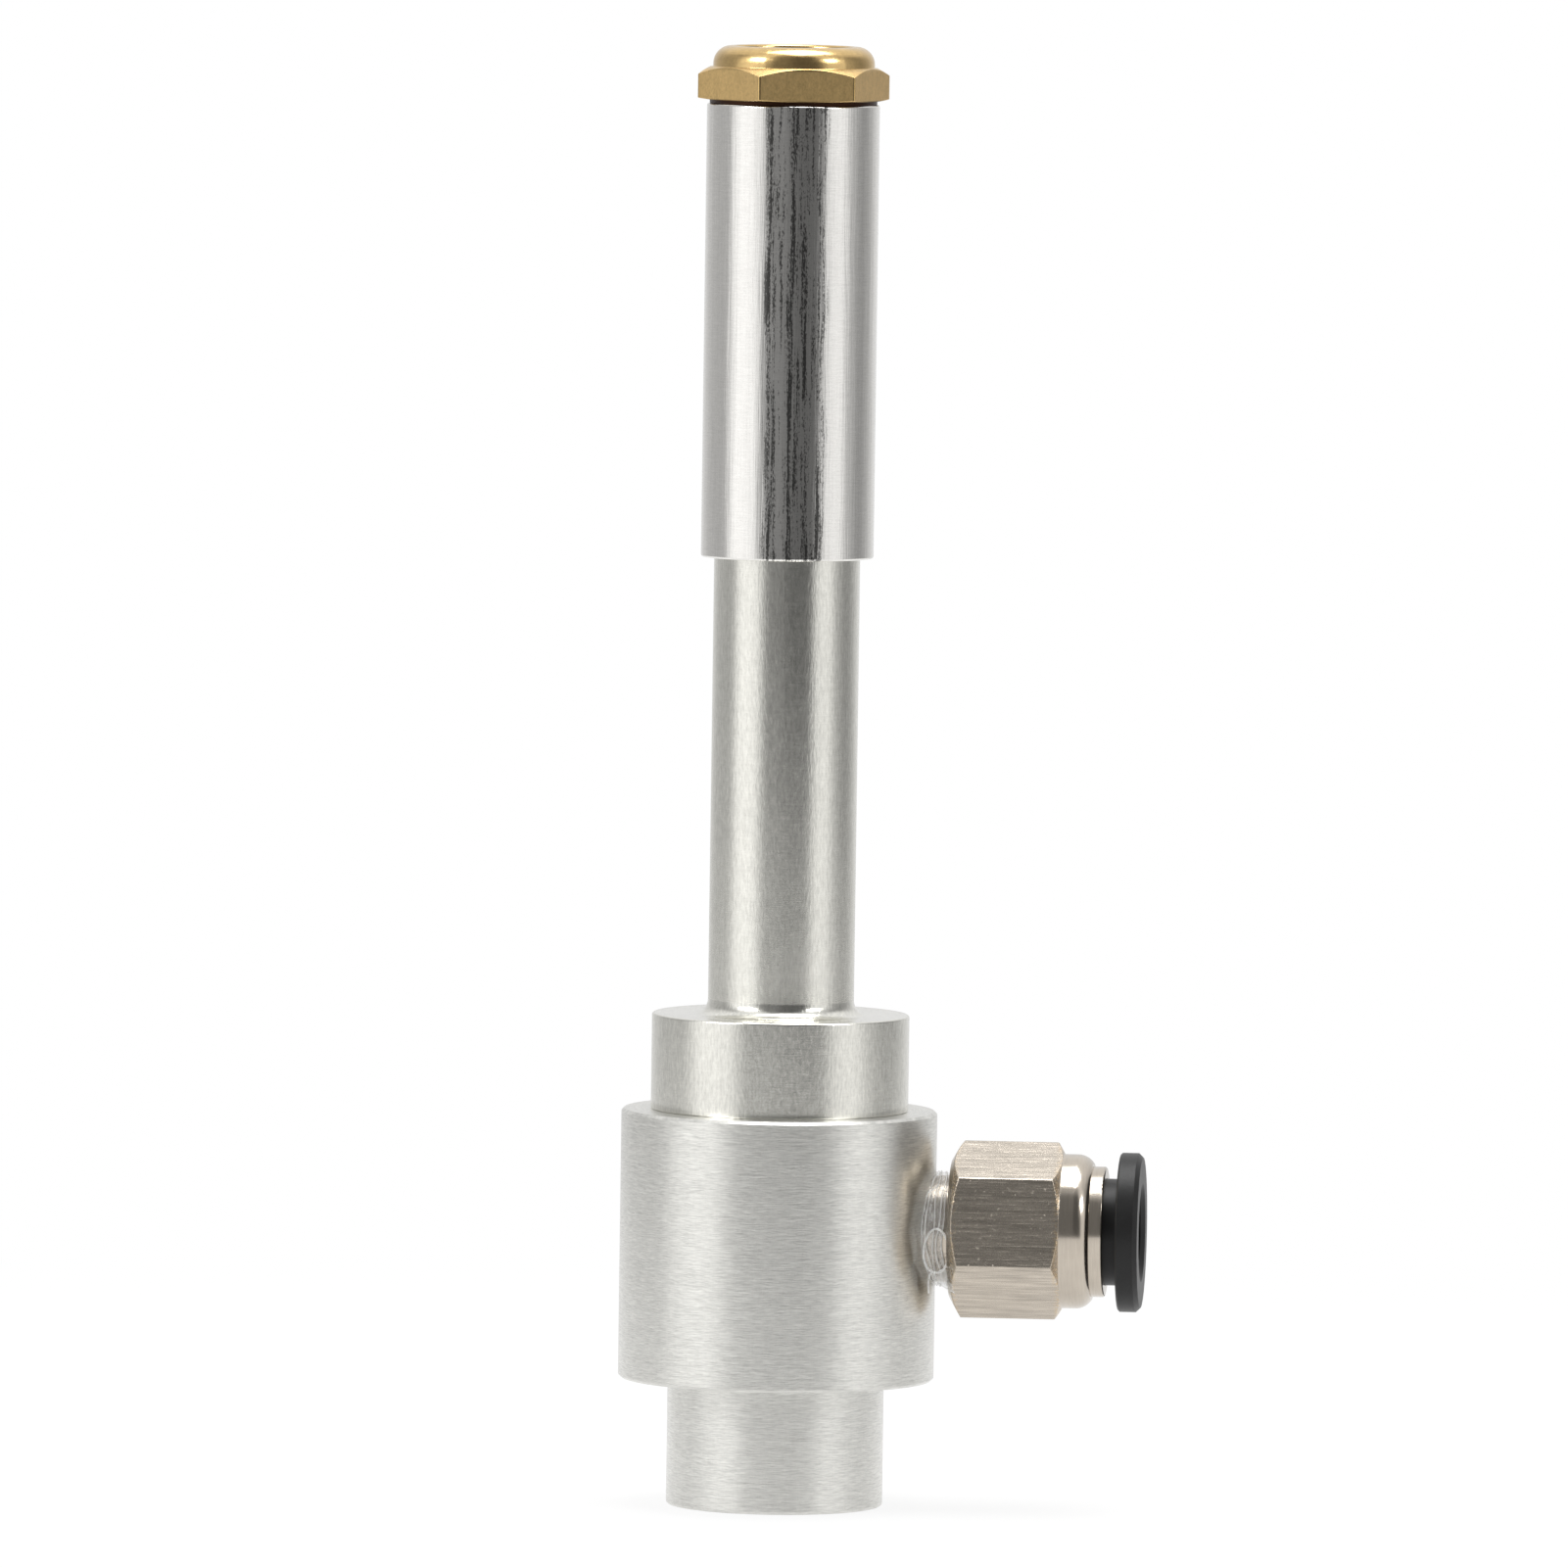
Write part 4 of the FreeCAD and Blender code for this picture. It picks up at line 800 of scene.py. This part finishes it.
def plated_metal(name, tint, worn):
    """Nickel over brass: lengthwise marks on the hexagon, rings elsewhere, brass along its two ends."""
    material, pad = finish(name)
    x, y, z = pad.places()
    upright = z - INLET_LEVEL
    radius = pad.maths("SQRT", y * y + upright * upright)
    marks = pad.noise((x, y, upright), (0.2, 4.6, 4.6), 3.0, 0.6)
    rings = pad.noise((x + radius * (2 / 3), y, upright), (9.0, 0.4, 0.4), 2.0, 0.6)
    beads = pad.noise((x, y, upright), (3.2, 3.2, 3.2), 2.0, 0.6)
    clouds = pad.noise((x, y, upright), (0.5, 0.5, 0.5))
    hexagonal = pad.smooth(radius, FITTING_FLATS / 2 - 0.12, FITTING_FLATS / 2 - 0.02)
    hexagonal = hexagonal * pad.smooth(x, HEX_BACK - 0.05, HEX_BACK + 0.1)
    hexagonal = hexagonal * (1 - pad.smooth(x, HEX_FRONT - 0.1, HEX_FRONT + 0.05))
    end = 1 - pad.smooth(x, HEX_BACK + 0.1, HEX_BACK + 1.1)
    end = pad.maths("MAXIMUM", end, pad.smooth(x, HEX_FRONT - 0.75, HEX_FRONT - 0.1) * 0.7)
    thin = end * hexagonal * pad.smooth(beads + (radius - FITTING_FLATS / 2) * 0.3, 0.45, 0.7)
    turned = 1 - hexagonal
    level = 1 + (marks - 0.5) * hexagonal * 1.3 + (rings - 0.5) * turned * 0.25 + (clouds - 0.5) * 0.2
    base = pad.mix(thin * 0.75, pad.tinted(tint, level), colour(*worn))
    dots = pad.smooth(beads, 0.68, 0.76)
    height = (marks - 0.5) * hexagonal * 0.04 + dots * hexagonal * 0.015 + (rings - 0.5) * turned * 0.003
    rough = 0.17 + hexagonal * 0.1 + (beads - 0.5) * 0.08
    close(pad, {"Base Color": base, "Metallic": 1.0, "Roughness": rough, "Normal": bump(pad, height)})
    return material


nickel = plated_metal("nickel_plated_brass", (0.57, 0.51, 0.435), (0.8, 0.58, 0.32))

# %% [markdown]
# ## Sintered bronze and spring steel
#
# The silencer's disc is made of small round grains pressed together, with air between them. A Voronoi
# texture gives the distance to the nearest of many scattered points, which is just such a heap of
# grains. The hose's grip ring is thin sheet, and takes the turned finish with hardly any rings.

# %% The disc's grains and the grip ring's sheet


def sintered_metal(name, tint):
    """Small round grains pressed together: the distance to the nearest grain's centre is the height, and
    painted shade darkens the pores between them.
    """
    material, pad = finish(name)
    x, y, z = pad.places()
    grains = pad.node("ShaderNodeTexVoronoi", None, {"Vector": pad.vector(x, y, z), "Scale": 2.6})
    # painted shade: the pores between the grains are darkened in the colour, where shade falls
    painted_gap_shade = pad.smooth(grains, 0.25, 0.65)
    base = pad.mix(painted_gap_shade, colour(*tint), colour(tint[0] * 0.2, tint[1] * 0.17, tint[2] * 0.15))
    close(pad, {
        "Base Color": base, "Metallic": 1.0, "Roughness": 0.35 + painted_gap_shade * 0.4,
        "Normal": bump(pad, 0 - grains, 0.25 * MM),
    })
    return material


bronze = sintered_metal("sintered_bronze", (0.6, 0.38, 0.2))
steel = turned_metal("spring_steel", (0.6, 0.6, 0.6), 0.3, 0.001, 0.08, along_x=True)

# %% [markdown]
# ## Plastic and rubber
#
# Moulded plastic is never one flat black. A fine spark texture from the mould breaks up its gloss,
# and the rubber of the seals is duller and a little grey.

# %% The dark soft materials


def moulded(name, tint, roughness, gloss, grain, pitch):
    """A moulded surface with a fine even texture in its height and gloss, of so many bumps to the mm."""
    material, pad = finish(name)
    x, y, z = pad.places()
    texture = pad.noise((x, y, z), (pitch, pitch, pitch), 3.0, 0.6)
    clouds = pad.noise((x, y, z), (0.4, 0.4, 0.4))
    level = 1 + (clouds - 0.5) * 0.4 + (texture - 0.5) * 0.3
    close(pad, {
        "Base Color": pad.tinted(tint, level), "Roughness": roughness + (texture - 0.5) * 0.15,
        "Specular IOR Level": gloss, "Normal": bump(pad, texture * grain),
    })
    return material


black = moulded("black_plastic", (0.011, 0.011, 0.011), 0.4, 0.3, 0.012, 7.0)
rubber = moulded("seal_rubber", (0.03, 0.03, 0.03), 0.6, 0.4, 0.01, 6.0)

# %% [markdown]
# ## Clear film
#
# Clear film is nearly all highlight: thin, slightly rough, with milky folds where it is doubled. It is
# left mostly open by its Alpha, which costs far less than glass and leaves the thread behind it sharp.

# %% The clear film


def clear_film(name):
    """Film that is mostly open: milky in its creases, along its edges and where the noise is high."""
    material, pad = finish(name)
    x, y, z = pad.places()
    folds = pad.noise((x, y, z), (2.4, 0.8, 0.8), 3.0, 0.6)
    crumple = pad.noise((x, y, z), (1.6, 1.6, 1.6), 3.0, 0.7)
    sheet = pad.node("ShaderNodeUVMap", {"uv_map": "grid"})
    down = pad.node("ShaderNodeSeparateXYZ", None, {0: sheet}).output("Y")
    edge = pad.smooth(pad.maths("ABSOLUTE", down - 0.5), 0.4, 0.49)
    crease = pad.node("ShaderNodeAttribute", {"attribute_name": "fold"}, None, "Fac")
    cover = 0.16 + pad.smooth(folds, 0.5, 0.68) * 0.25 + edge * 0.35 + crease * 0.6
    close(pad, {
        "Base Color": colour(0.9, 0.9, 0.89), "Roughness": 0.12, "Alpha": cover,
        "Normal": bump(pad, crumple * 0.3 + folds * 0.1),
    })
    return material


film = clear_film("clear_film")

# %% [markdown]
# ## Finishes on pieces
#
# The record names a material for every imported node, and the table below turns that name into a finish.
# The new surfaces get theirs one by one. Only the silencer's differs from the table, which keeps plain
# turned brass for the pieces inside.

# %% Give every piece its finish
FINISHES = {
    "satin_aluminium": satin, "turned_aluminium": tube_finish, "polished_aluminium": polished,
    "brass": brass, "nickel_plated_brass": nickel, "sintered_bronze": bronze, "black_plastic": black,
    "spring_steel": steel, "seal_rubber": rubber, "clear_film": film,
}


def paint(piece, material):
    """One material over the whole of a piece."""
    piece.data.materials.clear()
    piece.data.materials.append(material)


for subpart in frame["record"]["subparts"]:
    paint(nodes[subpart["node"]], FINISHES[subpart["material_slot"]])
paint(outlet, satin)
paint(tube, tube_finish)
paint(sleeve, polished)
paint(silencer, brass_finish)
paint(fitting, nickel)
for loose in (film_wrap, film_loop, film_strand, film_tail, film_flap):
    paint(loose, film)
print("the packed nodes share", len(FINISHES), "finishes")

# %% [markdown]
# ## The white studio
#
# Polished metal shows the room more than itself. The room here is a formula over the compass
# direction, measured from the camera: a dark side behind the camera, one tall soft lamp to the left,
# a narrower one to the right, grey walls beside them and a white wall at the back. A table of stops
# would do as well, but a sum of lobes has few numbers, and each is one lamp.

# %% The room round the object
CAMERA_AZIMUTH = math.radians(5.0)
LAMPS = (
    # direction in degrees from the camera, half width in degrees, brightness
    (-62, 26, 0.87),
    (62, 19, 0.72),
)
GLOWS = (
    (-16, 15, 0.11),
    (88, 12, 0.20),
    (-104, 30, 0.15),
    (150, 26, 0.34),
    (-150, 28, 0.24),
    (180, 26, 0.40),
)
DARK_SIDE = 0.12
SIDE_WALLS = 0.26


def room(world):
    """Brightness over directions: walls, lamps exp(-(angle / width)^4) and glows exp(-(angle / width)^2).

    Overhead a wide soft box hangs over the back half of the room, so its edge is a height that rises
    towards the camera.
    """
    pad = Pad(world)
    direction = pad.node("ShaderNodeTexCoord").output("Generated")
    split = pad.node("ShaderNodeSeparateXYZ", None, {0: direction})
    x, y, z = [split.output(letter) for letter in "XYZ"]
    turn = pad.maths("ARCTAN2", x, 0 - y) - CAMERA_AZIMUTH
    angle = pad.maths("WRAP", turn * (180 / math.pi), 180.0, -180.0)
    walls = pad.smooth(pad.maths("ABSOLUTE", angle), 25.0, 100.0)
    level = DARK_SIDE + walls * (SIDE_WALLS - DARK_SIDE)
    for towards, width, strength in LAMPS:
        away = pad.maths("WRAP", angle - towards, 180.0, -180.0) / width
        square = away * away
        level = level + pad.maths("EXPONENT", 0 - square * square) * strength
    for towards, width, strength in GLOWS:
        away = pad.maths("WRAP", angle - towards, 180.0, -180.0) / width
        level = level + pad.maths("EXPONENT", 0 - away * away) * strength
    overhead = pad.smooth(z + y * 0.45, 0.6, 0.95)
    level = level + overhead * (0.95 - level)
    path = pad.node("ShaderNodeLightPath")
    seen = path.output("Is Camera Ray")
    light = pad.node("ShaderNodeBackground", None, {"Color": colour(1, 1, 1), "Strength": level})
    white = pad.node("ShaderNodeBackground", None, {"Color": colour(1, 1, 1), "Strength": 1.0})
    mixed = pad.node("ShaderNodeMixShader", None, {0: seen, 1: light, 2: white})
    pad.node("ShaderNodeOutputWorld", None, {"Surface": mixed})


scene = bpy.context.scene
world = bpy.data.worlds.new("white_studio")
world.use_nodes = True
scene.world = world
room(world)
print("the room has", len(LAMPS), "lamps and", len(GLOWS), "glows")

# %% [markdown]
# ## Floor
#
# A round pale floor carries the object's soft shadow. Far out it turns into plain white light for the
# camera, so that no horizon shows. In reflections that light is a little dimmer, which keeps the lowest
# pieces from looking lit from below.

# %% The floor
FLOOR_RADIUS = 330.0
FLOOR_IN_METAL = 0.93


def floor_disc(radius, columns=96):
    """A flat fan of triangles, its rim the radius times the cosine and sine of even angles."""
    column = np.arange(columns)
    turn = column * TAU / columns
    rim = np.stack([radius * np.cos(turn), radius * np.sin(turn), np.zeros(columns)], -1)
    points = np.concatenate([[[0, 0, 0]], rim]) * MM
    faces = np.stack([np.zeros(columns, int), 1 + column, 1 + (column + 1) % columns], -1)
    mesh = bpy.data.meshes.new("pale_floor")
    mesh.from_pydata(points, [], faces)
    disc = bpy.data.objects.new("pale_floor", mesh)
    scene.collection.objects.link(disc)
    return disc


def floor_finish():
    """Pale paint near the object, fading to plain white light, which is a little dimmer in reflections."""
    material, pad = finish("pale_floor")
    x, y, z = pad.places()
    distance = pad.maths("SQRT", x * x + y * y)
    path = pad.node("ShaderNodeLightPath")
    mirrored = path.output("Is Glossy Ray")
    direct = pad.maths("MAXIMUM", path.output("Is Camera Ray"), path.output("Is Transmission Ray"))
    direct = pad.maths("MAXIMUM", direct, mirrored)
    share = direct * (0.86 + pad.smooth(distance, 40.0, 240.0) * 0.14)
    paint_shader = pad.node("ShaderNodeBsdfDiffuse", None, {"Color": colour(0.9, 0.9, 0.9)})
    white = pad.node("ShaderNodeEmission", None, {"Color": colour(1, 1, 1), "Strength": 1.0})
    dimmer = pad.node("ShaderNodeEmission", None, {"Color": colour(1, 1, 1), "Strength": FLOOR_IN_METAL})
    light = pad.node("ShaderNodeMixShader", None, {0: mirrored, 1: white, 2: dimmer})
    mixed = pad.node("ShaderNodeMixShader", None, {0: share, 1: paint_shader, 2: light})
    pad.node("ShaderNodeOutputMaterial", None, {"Surface": mixed})
    print(pad.name, "has", len(pad.tree.nodes), "nodes")
    return material


floor = floor_disc(FLOOR_RADIUS)
paint(floor, floor_finish())

# %% [markdown]
# ## Lamps
#
# Three soft lamps: a large one overhead, which draws the white line along the top of the fitting, and
# two smaller ones high at the front left and right, whose images are the white spots on the brass rim
# and in the fillet at the foot of the tube.

# %% Three soft lamps
LAMP_AIM = (0, 0, 60)


def soft_lamp(name, place, size, power):
    """A square area lamp at `place`, in millimetres, that faces the middle of the object."""
    data = bpy.data.lights.new(name, "AREA")
    data.shape = "SQUARE"
    data.size = size * MM
    data.energy = power
    lamp = bpy.data.objects.new(name, data)
    lamp.location = Vector(place) * MM
    lamp.rotation_euler = (Vector(LAMP_AIM) - Vector(place)).to_track_quat("-Z", "Y").to_euler()
    scene.collection.objects.link(lamp)
    print(name, "is", size, "mm wide with", power, "watts")


soft_lamp("lamp_over", (60, 80, 900), 520, 4.6)
soft_lamp("lamp_front_left", (-700, -528, 640), 360, 3.6)
soft_lamp("lamp_front_right", (800, -390, 640), 280, 2.1)

# %% [markdown]
# ## Camera
#
# The photograph was taken with a long lens from a little above the object, with the camera turned by
# a few degrees and tilted by less than one. So the place is given in millimetres and the lens by its
# focal length in pixels, which is what a photograph can tell.

# %% The camera
CAMERA_DISTANCE = 1650.0
CAMERA_HEIGHT = 175.0
PITCH = math.radians(3.8)
ROLL = math.radians(0.807)
FOCAL_PIXELS = 18674.0
IMAGE_PIXELS = 1601.0
SENSOR = 36.0

sideways = math.sin(CAMERA_AZIMUTH)
straight = math.cos(CAMERA_AZIMUTH)
forward = Vector((-sideways * math.cos(PITCH), straight * math.cos(PITCH), -math.sin(PITCH)))
right = Vector((straight, sideways, 0))
up = right.cross(forward)
turned_right = right * math.cos(ROLL) + up * math.sin(ROLL)
turned_up = up * math.cos(ROLL) - right * math.sin(ROLL)
camera_data = bpy.data.cameras.new("camera")
camera_data.sensor_width = SENSOR
camera_data.lens = FOCAL_PIXELS / IMAGE_PIXELS * SENSOR
camera_data.clip_start = 0.01
camera_data.clip_end = 20.0
camera = bpy.data.objects.new("camera", camera_data)
camera.matrix_world = Matrix((turned_right, turned_up, -forward)).transposed().to_4x4()
camera.location = Vector((CAMERA_DISTANCE * sideways, -CAMERA_DISTANCE * straight, CAMERA_HEIGHT)) * MM
scene.collection.objects.link(camera)
scene.camera = camera
scene.view_settings.view_transform = "Standard"
print("the lens is", round(camera_data.lens), "mm long")
